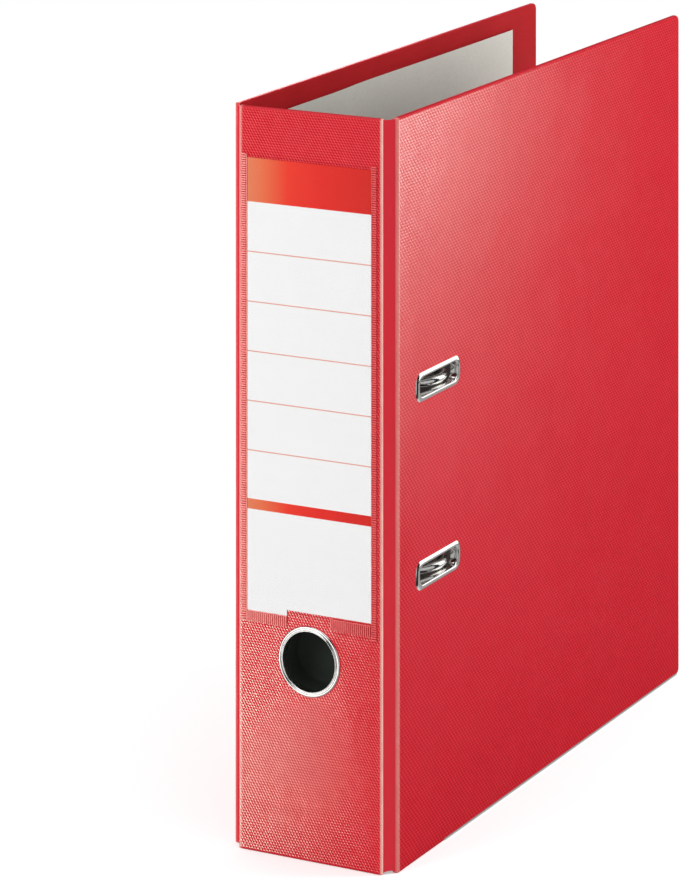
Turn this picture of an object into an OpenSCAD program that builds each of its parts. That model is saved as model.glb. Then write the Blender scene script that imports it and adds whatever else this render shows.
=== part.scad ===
// Lever arch file, A4, wide spine, standing upright and closed.
// Frame: +Z up, +X towards the front cover, -Y towards the spine face.
// Origin: centre of the bounding box in X and Y, on the resting plane in Z.

/* [Case] */
// Width over the two covers
file_w = 80; // [76:1:84]
// Depth from the thumb ring's lip to the fore-edge
file_d = 288; // [280:1:292]
// Height
file_h = 318; // [312:1:322]
// Thickness of one covered panel
panel_t = 2.6; // [2.4:0.1:2.8]
// Thickness of the outer foil
foil_out = 0.3; // [0.25:0.05:0.4]
// Thickness of the inner foil
foil_in = 0.25; // [0.2:0.05:0.3]
// Set-back of each gutter from the case corner
gutter = 5; // [4.5:0.5:6]
// Thickness of the gutter strip
gutter_t = 0.7; // [0.5:0.1:0.9]
// Corner radius at the fore-edge
corner_r = 3; // [2:0.5:5]

/* [Edge rails] */
// Distance from the spine face to the start of a rail
rail_start = 46.5; // [40:0.5:60]
// Visible height of a rail
rail_h = 1.0; // [0.8:0.1:2]

/* [Cover slots] */
// Length over the slot frame
slot_len = 40.5; // [38:0.5:42]
// Height over the slot frame
slot_h = 12.5; // [11.5:0.5:13]
// Length of the slot opening
slot_open_len = 34; // [32:0.5:35]
// Height of the slot opening
slot_open_h = 8.2; // [7.8:0.1:8.6]
// Slot centre, from the spine face
slot_y = 41; // [40:0.5:42]
// How far the metal lips stand proud
lip = 0.6; // [0.4:0.1:0.6]

/* [Thumb ring] */
// Outer diameter
ring_d = 30; // [28:0.5:32]
// Diameter of the finger opening
ring_hole_d = 25.4; // [24:0.2:26]
// Height of its centre
ring_z = 85; // [82:1:88]
// How far the ring stands proud of the spine
ring_lip = 0.8; // [0.6:0.1:1]
// Depth of the finger cup behind the spine
cup_depth = 11; // [8:1:14]

/* [Label] */
// Width of the label card
label_w = 60.5; // [58:0.5:61]
// Height of the label's lower edge
label_z0 = 105.5; // [104:0.5:108]
// Height of the label's upper edge
label_z1 = 296.3; // [290:0.1:298]
// Width of the lower tab at the label's left
label_tab = 19.5; // [15:0.5:24]

/* [Mechanism] */
// Height of the middle of the mechanism
mech_z = 158.2; // [156:0.1:162]
// Height midway between the two cover slots
slot_mz = 160; // [158:1:162]
// Distance between the two filing posts
post_pitch = 80; // [80:1:80]
// Radius of a filing post
post_r = 2.4; // [2.2:0.1:2.5]
// Distance of the posts from the spine face
post_y = 62; // [60:0.5:66]
// Radius of the arch wire
wire_r = 2; // [1.8:0.1:2]
// Length of the base plate
plate_len = 160; // [150:2:170]

/* [Hidden] */
$fn = 64;
overcut = 1;                      // how far a cutting shape runs past a face

// colours shared by several nodes
greyboard = [0.62, 0.60, 0.56];
inner_red = [0.68, 0.16, 0.18];
gutter_red = [0.80, 0.14, 0.20];
rail_metal = [0.80, 0.80, 0.82];
fitting_metal = [0.80, 0.81, 0.83];
bright_metal = [0.84, 0.85, 0.87];
pin_metal = [0.7, 0.71, 0.73];

// Pieces are drawn with x from the back face, y from the spine face, z from the ground.
module place() { translate([-file_w / 2, -file_d / 2 + ring_lip, 0]) children(); }

// a flat shape given as [y, z], thickened along +X from x0 to x1
module slab_x(x0, x1) {
    translate([x0, 0, 0]) rotate([90, 0, 90]) linear_extrude(x1 - x0) children();
}

module round_box(length, height, radius) {
    translate([-length / 2 + radius, -height / 2]) square([length - 2 * radius, height]);
    translate([-length / 2, -height / 2 + radius]) square([length, height - 2 * radius]);
    for (sx = [-1, 1], sy = [-1, 1])
        translate([sx * (length / 2 - radius), sy * (height / 2 - radius)]) circle(radius);
}

// ---- Covers: greyboard core, outer foil wrapped round its edges, inner foil ----
fore_edge = file_d - ring_lip;
cover_y0 = gutter + 0.2;
core_t = panel_t - foil_out - foil_in;
front_x0 = file_w - panel_t;      // inner face of the front cover
back_core_x0 = foil_out;
front_core_x0 = front_x0 + foil_in;
inner_inset = 0.8;                // inner foil's margin inside a panel's edges

// outline of a cover: square at the gutter, rounded at the fore-edge
module cover_outline(inset = 0, z0 = 0) {
    radius = corner_r - inset;
    arc_y = fore_edge - inset - radius;
    z1 = file_h - inset;
    translate([cover_y0 + inset, z0]) square([arc_y - cover_y0 - inset, z1 - z0]);
    translate([arc_y - 1, z0 + radius]) square([radius + 1, z1 - z0 - 2 * radius]);
    for (z = [z0 + radius, z1 - radius]) translate([arc_y, z]) circle(radius);
}

module cover_core(x0) { slab_x(x0, x0 + core_t) cover_outline(foil_out, foil_out); }

// outer foil round the core at core_x0, cut away where the edge rail sits
module cover_wrap(x0, core_x0) {
    x1 = x0 + core_t + foil_out;
    difference() {
        slab_x(x0, x1) cover_outline();
        cover_core(core_x0);
        slab_x(x0 - overcut, x1 + overcut)
            translate([rail_start, -overcut]) square([fore_edge, overcut + rail_h]);
    }
}

module cover_lining(x0) {
    slab_x(x0, x0 + foil_in) cover_outline(inner_inset, rail_h + 0.05);
}

// thin metal channel under the lower edge of a cover, open upwards
module rail(x0, core_x0) {
    difference() {
        slab_x(x0, x0 + panel_t)
            translate([rail_start, 0]) square([fore_edge - corner_r - rail_start, rail_h]);
        translate([core_x0, rail_start - overcut, foil_out]) cube([core_t, fore_edge, rail_h]);
    }
}

module back_board() {
    color(greyboard) place() difference() {
        cover_core(back_core_x0);
        cover_rivet_cuts();
    }
}
module back_outer_foil() {
    color([0.80, 0.13, 0.19]) place() difference() {
        cover_wrap(0, back_core_x0);
        cover_rivet_cuts();
    }
}
module back_inner_foil() {
    color(inner_red) place() difference() {
        cover_lining(panel_t - foil_in);
        cover_rivet_cuts();
    }
}
module back_edge_rail() { color(rail_metal) place() rail(0, back_core_x0); }

module front_board() {
    color(greyboard) place() difference() {
        cover_core(front_core_x0);
        slot_cuts();
    }
}
module front_outer_foil() {
    color([0.82, 0.13, 0.19]) place() difference() {
        cover_wrap(front_core_x0, front_core_x0);
        slot_cuts();
    }
}
module front_inner_foil() {
    color(inner_red) place() difference() {
        cover_lining(front_x0);
        slot_cuts();
    }
}
module front_edge_rail() { color(rail_metal) place() rail(front_x0, front_core_x0); }

// ---- Spine panel ----
spine_x0 = gutter;
spine_w = file_w - 2 * gutter;
spine_x1 = spine_x0 + spine_w;

// room for the greyboard inside the foil; extra deepens it past the inner side
module spine_core(extra = 0) {
    translate([spine_x0 + foil_out, foil_out, foil_out])
        cube([spine_w - 2 * foil_out, core_t + extra, file_h - 2 * foil_out]);
}

module spine_board() {
    color(greyboard) place() difference() {
        spine_core();
        ring_cut();
    }
}
module spine_outer_foil() {
    color([0.84, 0.17, 0.22]) place() difference() {
        translate([spine_x0, 0, 0]) cube([spine_w, foil_out + core_t, file_h]);
        spine_core(overcut);
        ring_cut();
    }
}
module spine_inner_foil() {
    color(inner_red) place() difference() {
        translate([spine_x0 + inner_inset, panel_t - foil_in, inner_inset])
            cube([spine_w - 2 * inner_inset, foil_in, file_h - 2 * inner_inset]);
        ring_cut();
    }
}

// ---- Gutters: thin strips standing at 45 degrees across the two spine corners ----
gutter_face = 0.7;                // set-back of a strip's outer side from both faces
gutter_z0 = 1.2;
gutter_top_gap = 1;

module gutter_strip() {
    slant_t = gutter_t * 1.414;   // strip thickness measured along an axis
    x1 = spine_x1 + cover_y0 - gutter_face;
    translate([0, 0, gutter_z0]) linear_extrude(file_h - gutter_z0 - gutter_top_gap)
        polygon([[spine_x1, gutter_face], [x1, cover_y0],
                 [x1 - slant_t, cover_y0], [spine_x1, gutter_face + slant_t]]);
}
module front_gutter() { color(gutter_red) place() gutter_strip(); }
module back_gutter() {
    color(gutter_red) place() translate([file_w, 0, 0]) mirror([1, 0, 0]) gutter_strip();
}

// ---- Metal frames of the slots in the front cover ----
slot_r = 3.2;                     // corner radius of the opening
slot_wall = 0.8;                  // wall of the collar through the cover
slot_step = 0.5;                  // set-back of the lip's upper tier and of the back flange
slot_back_t = 0.5;

module at_slots() {
    for (s = [-1, 1]) translate([0, slot_y, slot_mz + s * post_pitch / 2]) children();
}
module slot_collar() {
    round_box(slot_open_len + 2 * slot_wall, slot_open_h + 2 * slot_wall, slot_r + 0.7);
}
module slot_flange() {
    round_box(slot_len - 2 * slot_step, slot_h - 2 * slot_step, slot_r + 1);
}
module slot_cuts() {
    at_slots() slab_x(front_x0 - overcut, file_w + overcut) slot_collar();
}

// two-tier lip outside the cover and a collar through it
module slot_eyelets() {
    color([0.85, 0.86, 0.88]) place() at_slots() difference() {
        union() {
            slab_x(file_w, file_w + lip * 0.5) round_box(slot_len, slot_h, slot_r + 1.5);
            slab_x(file_w + lip * 0.5, file_w + lip) slot_flange();
            slab_x(front_x0 - slot_back_t, file_w + 0.1) slot_collar();
        }
        slab_x(front_x0 - overcut, file_w + 2) round_box(slot_open_len, slot_open_h, slot_r);
    }
}
module slot_eyelet_backs() {
    color(fitting_metal) place() at_slots() slab_x(front_x0 - slot_back_t, front_x0) difference() {
        slot_flange();
        slot_collar();
    }
}

// ---- Thumb ring and finger cup ----
ring_r = ring_d / 2;
hole_r = ring_hole_d / 2;
collar_r = hole_r + 0.5;
ring_back_t = 0.6;
ring_back_r = ring_r + 0.5;
ring_back_y = panel_t + ring_back_t;

// local +Z points out of the spine, or into the file with tilt = -90
module at_ring(y, tilt = 90) {
    translate([file_w / 2, y, ring_z]) rotate([tilt, 0, 0]) children();
}
module ring_cut() {
    at_ring(panel_t + overcut) cylinder(h = panel_t + 2 * overcut, r = collar_r);
}

// rolled lip with a groove, collar through the spine; profile is [radius, height]
module thumb_ring() {
    color(bright_metal) place() at_ring(0) rotate_extrude($fn = 96)
        polygon([[hole_r, -ring_back_y], [collar_r, -ring_back_y], [collar_r, 0],
                 [ring_r, 0], [ring_r, 0.35], [ring_r - 0.35, ring_lip - 0.1],
                 [ring_r - 0.8, ring_lip - 0.1], [ring_r - 1.2, 0.25],
                 [hole_r + 0.7, 0.25], [hole_r + 0.5, ring_lip],
                 [hole_r + 0.15, ring_lip], [hole_r, ring_lip - 0.2]]);
}
module thumb_ring_back() {
    color(fitting_metal) place() at_ring(ring_back_y) difference() {
        cylinder(h = ring_back_t, r = ring_back_r);
        translate([0, 0, -overcut]) cylinder(h = 3, r = collar_r);
    }
}
// flanged cup with a bevelled floor; profile is [radius, depth]
module thumb_cup() {
    wall = 0.9;
    color([0.05, 0.05, 0.05]) place() at_ring(ring_back_y, -90) rotate_extrude($fn = 96)
        polygon([[hole_r, 0], [ring_back_r, 0], [ring_back_r, 0.8], [hole_r + wall, 0.8],
                 [hole_r + wall, cup_depth - 2], [hole_r - 1.1, cup_depth], [0, cup_depth],
                 [0, cup_depth - wall], [hole_r - 1.5, cup_depth - wall],
                 [hole_r, cup_depth - 2.4]]);
}

// ---- Label and its clear pocket on the spine, open at the top ----
label_x0 = file_w / 2 - label_w / 2 - 0.15;
third_w = label_w / 3;
label_t = 0.25;
pocket_z0 = 98;
pocket_h = label_z1 + 1.5 - pocket_z0;
pocket_margin = 3.2;              // film beyond each side of the label
film_t = 0.15;
weld_t = 0.31;                    // welds bite 0.01 into the film
weld_gap = 0.25;                  // between the label and a side weld
weld_w = pocket_margin - weld_gap;

module label_pocket() {
    color([0.92, 0.93, 0.95, 0.35]) place() {
        difference() {
            translate([label_x0 - pocket_margin, -0.45, pocket_z0])
                cube([label_w + 2 * pocket_margin, film_t, pocket_h]);
            // notch in the lower edge
            translate([label_x0 + third_w, -1, 90]) cube([third_w, 2, 13.5]);
        }
        // side welds
        for (x = [label_x0 - pocket_margin, label_x0 + label_w + weld_gap])
            translate([x, -weld_t, pocket_z0]) cube([weld_w, weld_t, pocket_h]);
        // lower welds, either side of the notch
        for (x = [label_x0 - 0.3, label_x0 + 2 * third_w])
            translate([x, -weld_t, pocket_z0]) cube([third_w + 0.6, weld_t, 4]);
    }
}
module spine_label() {
    color([0.95, 0.95, 0.95]) place() translate([label_x0, -0.28, label_z0]) {
        cube([label_w, label_t, label_z1 - label_z0]);
        translate([0, 0, -2.5]) cube([label_tab, label_t, 4]);
    }
}

// ---- Mechanism: axes and centres are [x, y] points ----
plate_y0 = 24;
plate_y1 = 72;
plate_x = 4.4;                    // top of the base plate
rivet_inset = 6;                  // from the plate's long edges
rivet_dz = 72;                    // from the middle of the mechanism
rivet_r = 2.4;
post_top = 50;
arch_axis = [plate_x + 0.2 + wire_r, 34];
crank = 8;                        // throw of the wire's crank
lever_axis = [12, 50];
roller_r = 4;
roller_y = 41.5;
// the roller rests on the cranked wire with 0.05 clearance
roller_axis = [arch_axis.x + sqrt(pow(roller_r + wire_r + 0.05, 2)
                                  - pow(arch_axis.y + crank - roller_y, 2)), roller_y];

// rivet and post positions, local +Z along +X
module at_rivets(x0 = 0) {
    for (y = [plate_y0 + rivet_inset, plate_y1 - rivet_inset], s = [-1, 1])
        translate([x0, y, mech_z + s * rivet_dz]) rotate([0, 90, 0]) children();
}
module at_posts() {
    for (s = [-1, 1])
        translate([0, post_y, mech_z + s * post_pitch / 2]) rotate([0, 90, 0]) children();
}
module cover_rivet_cuts() {
    at_rivets(-overcut) cylinder(h = panel_t + 2 * overcut, r = rivet_r);
}

module at_axis(axis, z = 0) { translate([axis.x, axis.y, mech_z + z]) children(); }
// cylinder on a vertical axis, centred on the mechanism
module rod(axis, length, radius) { at_axis(axis, -length / 2) cylinder(h = length, r = radius); }
// copies of a plate of the given thickness, centred at -z and +z
module both_sides(z, thickness) {
    for (s = [-1, 1]) translate([0, 0, s * z - thickness / 2]) children();
}

// round-topped upright on the base plate
module bearing(centre, thickness) {
    radius = 3.4;
    sink = 0.5;
    translate([centre.x, centre.y, 0]) cylinder(h = thickness, r = radius);
    translate([plate_x - sink, centre.y - radius, 0])
        cube([centre.x - plate_x + sink, 2 * radius, thickness]);
}

// inverted tray with wire bearings and lever ears
module base_plate() {
    centre = [(plate_y0 + plate_y1) / 2, mech_z];
    width = plate_y1 - plate_y0;
    bearing_t = 3;
    ear_t = 1.2;
    color([0.72, 0.73, 0.75]) place() difference() {
        union() {
            difference() {
                slab_x(panel_t, plate_x) translate(centre) round_box(width, plate_len, 6);
                slab_x(panel_t - overcut, plate_x - 0.9)
                    translate(centre) round_box(width - 2, plate_len - 2, 5);
            }
            translate([0, 0, mech_z]) {
                for (z = [22, 27]) both_sides(z, bearing_t) bearing(arch_axis, bearing_t);
                both_sides(9.6, ear_t) bearing(lever_axis - [0, 0.2], ear_t);
            }
        }
        rod(arch_axis, 80, wire_r + 0.05);
        rod(lever_axis, 40, 1.52);
        at_rivets() cylinder(h = 6, r = rivet_r);
        at_posts() cylinder(h = 6, r = post_r);
    }
}

// hollow rivets: head outside, rolled edge on the plate; profile is [radius, x]
module base_rivets() {
    bore_r = 1.6;
    edge_x = plate_x + 0.22;
    color(fitting_metal) place() at_rivets() rotate_extrude($fn = 48)
        polygon([[bore_r, -lip], [3.4, -lip], [4, -0.2], [4, 0], [rivet_r, 0],
                 [rivet_r, plate_x], [3.4, plate_x], [3.2, edge_x], [bore_r, edge_x]]);
}

// two fixed posts, chamfered and bored at the top, with a flange under the plate
module filing_posts() {
    foot_x = plate_x - 1.6;
    chamfer = 0.5;
    color([0.82, 0.83, 0.85]) place() at_posts() difference() {
        union() {
            translate([0, 0, foot_x]) cylinder(h = post_top - chamfer - foot_x, r = post_r);
            translate([0, 0, post_top - chamfer])
                cylinder(h = chamfer, r1 = post_r, r2 = post_r - 0.4);
            translate([0, 0, foot_x]) cylinder(h = 0.7, r = 4);
        }
        translate([0, 0, post_top - 6]) cylinder(h = 7, r = 1.5);
    }
}

// ---- Arch wire: two arches and a crank between them, turning in the bearings ----
crank_z = 16;                     // where the wire leaves the bearing line
bend_r = 3;
foot_r = 4;
arch_r = (post_y - arch_axis.y) / 2;  // spans from the wire's own pivot to the post
arch_centre = [arch_axis.x + 55.9, post_y - arch_r];
tip_x = post_top + 0.25;
tip_len = 1;

module wire_z(y, z0, z1) { translate([arch_axis.x, y, z0]) cylinder(h = z1 - z0, r = wire_r); }
module wire_x(y, x0, x1) {
    translate([x0, y, 0]) rotate([0, 90, 0]) cylinder(h = x1 - x0, r = wire_r);
}
module wire_bend(radius) { rotate_extrude(angle = 90) translate([radius, 0]) circle(wire_r); }

module half_wire() {
    x = arch_axis.x;
    y = arch_axis.y;
    foot_z = post_pitch / 2 - foot_r;
    wire_z(y, crank_z, foot_z);
    wire_z(y + crank, -0.5, crank_z - 2 * bend_r);
    // crank arm with a bend at each end
    translate([x, y + bend_r, crank_z]) rotate([90, 0, 90]) rotate([0, 0, 180]) wire_bend(bend_r);
    translate([x, y + bend_r, crank_z - bend_r])
        rotate([-90, 0, 0]) cylinder(h = crank - 2 * bend_r, r = wire_r);
    translate([x, y + crank - bend_r, crank_z - 2 * bend_r]) rotate([90, 0, 90]) wire_bend(bend_r);
    // foot of the arch
    translate([x + foot_r, y, foot_z]) rotate([90, 0, 0]) rotate([0, 0, 90]) wire_bend(foot_r);
    // arch, down to a tapered tip over the post
    translate([0, 0, post_pitch / 2]) {
        wire_x(y, x + foot_r, arch_centre.x);
        translate([arch_centre.x, arch_centre.y, 0]) rotate([0, 0, -90])
            rotate_extrude(angle = 180, $fn = 96) translate([arch_r, 0]) circle(wire_r);
        wire_x(post_y, tip_x + tip_len, arch_centre.x);
        translate([tip_x, post_y, 0])
            rotate([0, 90, 0]) cylinder(h = tip_len, r1 = wire_r - 0.5, r2 = wire_r);
    }
}
module arch_wire() {
    color(bright_metal) place() translate([0, 0, mech_z]) {
        half_wire();
        mirror([0, 0, 1]) half_wire();
    }
}

// ---- Lever: a channel along a shallow curve, a rolled pad at its end ----
lever_start = [17.8, 46.5];
lever_end = [42, 10.5];
lever_dir = (lever_end - lever_start) / norm(lever_end - lever_start);
lever_normal = [-lever_dir.y, lever_dir.x];
lever_steps = 18;
lever_w = 17;
pad_w = 22;
sheet_t = 1.2;
pad_r = 3.4;
cheek_r = 3.6;                    // round the lever's pivot
boss_r = 3.1;                     // round the roller's pin

// point at fraction t along the curve, offset to its convex side
function lever_point(t, offset) = lever_start + (lever_end - lever_start) * t
    + lever_normal * (8 * t * (1 - t) + offset);
// points from t0 to t1, the offset running from offset0 to offset1
function lever_edge(t0, t1, offset0, offset1) = [for (i = [0 : lever_steps])
    let (f = i / lever_steps) lever_point(t0 + (t1 - t0) * f, offset0 + (offset1 - offset0) * f)];
function lever_band(t0) = concat(
    lever_edge(t0, 1, -sheet_t / 2, -sheet_t / 2), lever_edge(1, t0, sheet_t / 2, sheet_t / 2));
function pad_point(radius, a) = lever_end + lever_normal * (pad_r + sheet_t / 2)
    + (lever_dir * sin(a) - lever_normal * cos(a)) * radius;

module across(width) { translate([0, 0, mech_z - width / 2]) linear_extrude(width) children(); }

module lever() {
    color([0.78, 0.79, 0.81]) place() difference() {
        union() {
            across(lever_w) polygon(lever_band(0));
            across(pad_w) polygon(lever_band(0.8));
            across(pad_w) polygon(concat(
                [for (a = [0 : 8 : 96]) pad_point(pad_r + sheet_t, a)],
                [for (a = [96 : -8 : 0]) pad_point(pad_r, a)]));
            // side flanges, with cheeks round the pivot and the roller pin
            translate([0, 0, mech_z]) both_sides((lever_w - sheet_t) / 2, sheet_t)
                linear_extrude(sheet_t) {
                    polygon(concat(lever_edge(0, 0.94, 0, 0), lever_edge(0.94, 0, -1.9, -5.5)));
                    translate(lever_axis) circle(cheek_r);
                    translate(roller_axis) circle(boss_r);
                    polygon([lever_axis - [cheek_r, 0], roller_axis - [boss_r, 0], [12.4, 38.4],
                             [17, 37.6], [22, 40.5], [18.4, 46.8], [13.4, 53.3]]);
                }
        }
        rod(lever_axis, 40, 1.55);
        rod(roller_axis, 40, 1.22);
    }
}

// ---- Pins, roller, compressor and sheet ----
module headed_pin(axis, length, radius, head_z, head_t, head_r) {
    rod(axis, length, radius);
    at_axis(axis) both_sides(head_z, head_t) cylinder(h = head_t, r = head_r);
}
module lever_pin() {
    color(pin_metal) place() headed_pin(lever_axis, length = 22, radius = 1.5,
                                        head_z = 10.7, head_t = 1, head_r = 2.6);
}
module lever_roller() {
    roller_w = 13.8;
    color([0.75, 0.76, 0.78]) place() difference() {
        rod(roller_axis, roller_w, roller_r);
        at_axis(roller_axis, -roller_w / 2 - overcut) cylinder(h = 16, r = 1.25);
    }
}
module roller_pin() {
    color(pin_metal) place() headed_pin(roller_axis, length = 17.8, radius = 1.2,
                                        head_z = 8.75, head_t = 0.5, head_r = 2);
}

// flat ribbed bar that slides on the posts and holds the paper down
module compressor_bar() {
    bar_x = 5.3;
    color([0.74, 0.75, 0.77]) place() difference() {
        union() {
            slab_x(bar_x, 6.5) translate([post_y + 1.75, mech_z]) round_box(9.5, 108, 4.7);
            slab_x(bar_x, 7.7) translate([post_y + 5.9, mech_z]) square([1.2, 92], center = true);
        }
        at_posts() cylinder(h = 12, r = post_r + 0.08);
    }
}

// one punched insert sheet on the posts, notched round the lever
module info_sheet() {
    sheet_y0 = post_y - 20;
    color([0.84, 0.83, 0.78]) place() difference() {
        slab_x(4.75, 4.9) translate([sheet_y0, 12]) square([218, 297]);
        at_posts() cylinder(h = 12, r = 3);
        translate([4, sheet_y0 - overcut, mech_z - 18]) cube([2, 15, 36]);
    }
}

back_board();
back_outer_foil();
back_inner_foil();
back_edge_rail();
back_gutter();
spine_board();
spine_outer_foil();
spine_inner_foil();
front_gutter();
front_board();
front_outer_foil();
front_inner_foil();
front_edge_rail();
slot_eyelets();
slot_eyelet_backs();
thumb_ring();
thumb_ring_back();
thumb_cup();
label_pocket();
spine_label();
base_plate();
base_rivets();
filing_posts();
arch_wire();
lever();
lever_pin();
lever_roller();
roller_pin();
compressor_bar();
info_sheet();
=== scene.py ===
import bpy, bmesh, math, random
from mathutils import Vector, Matrix


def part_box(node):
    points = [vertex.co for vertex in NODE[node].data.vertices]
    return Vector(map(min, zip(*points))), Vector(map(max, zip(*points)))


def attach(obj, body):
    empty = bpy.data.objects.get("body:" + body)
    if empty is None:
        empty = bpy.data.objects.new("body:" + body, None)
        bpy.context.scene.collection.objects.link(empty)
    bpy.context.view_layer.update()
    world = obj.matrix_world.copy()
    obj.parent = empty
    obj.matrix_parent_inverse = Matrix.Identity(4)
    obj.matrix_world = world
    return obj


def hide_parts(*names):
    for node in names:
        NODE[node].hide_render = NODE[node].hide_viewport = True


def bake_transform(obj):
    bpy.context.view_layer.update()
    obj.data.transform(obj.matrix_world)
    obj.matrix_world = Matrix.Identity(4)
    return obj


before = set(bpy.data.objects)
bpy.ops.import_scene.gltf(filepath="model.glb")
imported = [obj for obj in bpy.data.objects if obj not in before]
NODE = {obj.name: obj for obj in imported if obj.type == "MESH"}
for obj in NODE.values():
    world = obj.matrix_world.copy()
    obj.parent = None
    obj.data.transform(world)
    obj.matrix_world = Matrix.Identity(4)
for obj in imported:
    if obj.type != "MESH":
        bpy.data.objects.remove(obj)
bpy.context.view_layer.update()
pi = math.pi

# ------------------------------------------------------------------ places
# Lengths are millimetres measured from the file's outer corner: u from the back cover's outer face,
# v from the spine's outer face, z from the resting plane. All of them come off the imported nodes.
def box_mm(n):
    lo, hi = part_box(n)
    return Vector(lo) * 1000, Vector(hi) * 1000

so_lo, so_hi = box_mm("spine_outer_foil")
fo_lo, fo_hi = box_mm("front_outer_foil")
bo_lo, bo_hi = box_mm("back_outer_foil")
U0 = bo_lo.x
V0 = so_lo.y
def W(u, v, z):
    return Vector(((u + U0) / 1000, (v + V0) / 1000, z / 1000))
def uvz(n):
    lo, hi = box_mm(n)
    return (lo.x - U0, lo.y - V0, lo.z), (hi.x - U0, hi.y - V0, hi.z)

WID = fo_hi.x - U0            # over both covers
DEP = fo_hi.y - V0            # spine face to fore-edge
HGT = so_hi.z
PT = uvz("spine_inner_foil")[1][1]      # panel thickness
SX0, SX1 = uvz("spine_outer_foil")[0][0], uvz("spine_outer_foil")[1][0]
COV = uvz("front_outer_foil")[0][1]     # covers start here
BRD = uvz("front_board")
RAIL = uvz("front_edge_rail")
(_, e0, ez0), (_, e1, ez1) = uvz("slot_eyelets")
SLOT_V = (e0 + e1) / 2
SLOT_L = e1 - e0
SZ = (ez0 + ez1) / 2
(px0, py0, pz0), (px1, py1, pz1) = uvz("filing_posts")
POST_V = (py0 + py1) / 2
PITCH = (pz1 - pz0) - (py1 - py0)
SLOT_Z = (SZ - PITCH / 2, SZ + PITCH / 2)
MZ = (pz0 + pz1) / 2
POST_Z = (MZ - PITCH / 2, MZ + PITCH / 2)
SLOT_H = (ez1 - ez0) - PITCH
LIP = -(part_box("base_rivets")[0][0] * 1000 - U0)
(tr0, tr1) = uvz("thumb_ring")
RING_U, RING_Z, RING_R = (tr0[0] + tr1[0]) / 2, (tr0[2] + tr1[2]) / 2, (tr1[0] - tr0[0]) / 2
RING_LIP = -tr0[1]
(tc0, tc1) = uvz("thumb_cup")

# ------------------------------------------------------------------ mesh helpers
def obj_from(name, verts, faces, mats=(), mat_idx=None, smooth=40, raw=False):
    me = bpy.data.meshes.new(name)
    vv = [v if raw else W(*v) for v in verts]
    me.from_pydata([tuple(v) for v in vv], [], faces)
    me.validate()
    ob = bpy.data.objects.new(name, me)
    bpy.context.scene.collection.objects.link(ob)
    for m in mats:
        me.materials.append(m)
    if mat_idx is not None:
        for p, i in zip(me.polygons, mat_idx):
            p.material_index = i
    clean(ob)
    if smooth:
        shade(ob, smooth)
    return ob

def clean(ob, dist=0.0000004):
    bm = bmesh.new(); bm.from_mesh(ob.data)
    bmesh.ops.remove_doubles(bm, verts=bm.verts, dist=dist)
    bmesh.ops.recalc_face_normals(bm, faces=bm.faces)
    bm.to_mesh(ob.data); bm.free()

def shade(ob, angle):
    me = ob.data
    bm = bmesh.new(); bm.from_mesh(me)
    for f in bm.faces: f.smooth = True
    lim = math.radians(angle)
    for e in bm.edges:
        if len(e.link_faces) == 2:
            e.smooth = e.calc_face_angle(0) < lim
        else:
            e.smooth = True
    bm.to_mesh(me); bm.free()

def apply_mods(ob):
    dg = bpy.context.evaluated_depsgraph_get()
    ev = ob.evaluated_get(dg)
    me = bpy.data.meshes.new_from_object(ev, depsgraph=dg)
    old = ob.data
    ob.modifiers.clear()
    ob.data = me
    me.name = ob.name
    if old.users == 0: bpy.data.meshes.remove(old)

def cut(ob, *cutters):
    for i, c in enumerate(cutters):
        m = ob.modifiers.new("cut%d" % i, "BOOLEAN")
        m.operation = "DIFFERENCE"; m.solver = "EXACT"; m.object = c
    bpy.context.view_layer.update()
    apply_mods(ob)
    for c in cutters:
        me = c.data
        bpy.data.objects.remove(c)
        bpy.data.meshes.remove(me)

def box_obj(name, a, b):
    vs = [(x, y, z) for x in (a[0], b[0]) for y in (a[1], b[1]) for z in (a[2], b[2])]
    fs = [(0, 1, 3, 2), (4, 6, 7, 5), (0, 4, 5, 1), (2, 3, 7, 6), (0, 2, 6, 4), (1, 5, 7, 3)]
    return obj_from(name, vs, fs, smooth=0)

def join(name, obs):
    """One mesh object out of several, materials kept."""
    bm = bmesh.new(); mats = []
    for o in obs:
        me = o.data.copy()
        remap = {}
        for i, m in enumerate(me.materials):
            if m not in mats: mats.append(m)
            remap[i] = mats.index(m)
        for p in me.polygons: p.material_index = remap.get(p.material_index, 0)
        bm.from_mesh(me)
        bpy.data.meshes.remove(me)
    me = bpy.data.meshes.new(name); bm.to_mesh(me); bm.free()
    for m in mats: me.materials.append(m)
    for o in obs:
        old = o.data; bpy.data.objects.remove(o); bpy.data.meshes.remove(old)
    ob = bpy.data.objects.new(name, me)
    bpy.context.scene.collection.objects.link(ob)
    return ob

def rest_attr(ob):
    """Keeps each vertex's rest place, in millimetres from the file's corner, for the materials."""
    me = ob.data
    at = me.attributes.get("rest") or me.attributes.new("rest", "FLOAT_VECTOR", "POINT")
    buf = []
    for v in me.vertices:
        buf += [v.co.x * 1000 - U0, v.co.y * 1000 - V0, v.co.z * 1000]
    at.data.foreach_set("vector", buf)

def round_rect(hx, hy, r, n=8):
    """Counter-clockwise outline about the origin."""
    out = []
    for cx, cy, a0 in ((hx - r, hy - r, 0), (-(hx - r), hy - r, 90), (-(hx - r), -(hy - r), 180), (hx - r, -(hy - r), 270)):
        for i in range(n + 1):
            a = math.radians(a0 + 90 * i / n)
            out.append((cx + r * math.cos(a), cy + r * math.sin(a)))
    return out

def prism(name, outline, to, c0, c1, mats=(), smooth=30):
    """Plain prism: outline of (a, b), to(a, b, c) -> place."""
    n = len(outline)
    vs = [to(a, b, c0) for a, b in outline] + [to(a, b, c1) for a, b in outline]
    fs = [tuple(range(n)), tuple(range(2 * n - 1, n - 1, -1))]
    fs += [(i, n + i, n + (i + 1) % n, (i + 1) % n) for i in range(n)]
    return obj_from(name, vs, fs, mats, smooth=smooth)

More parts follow.
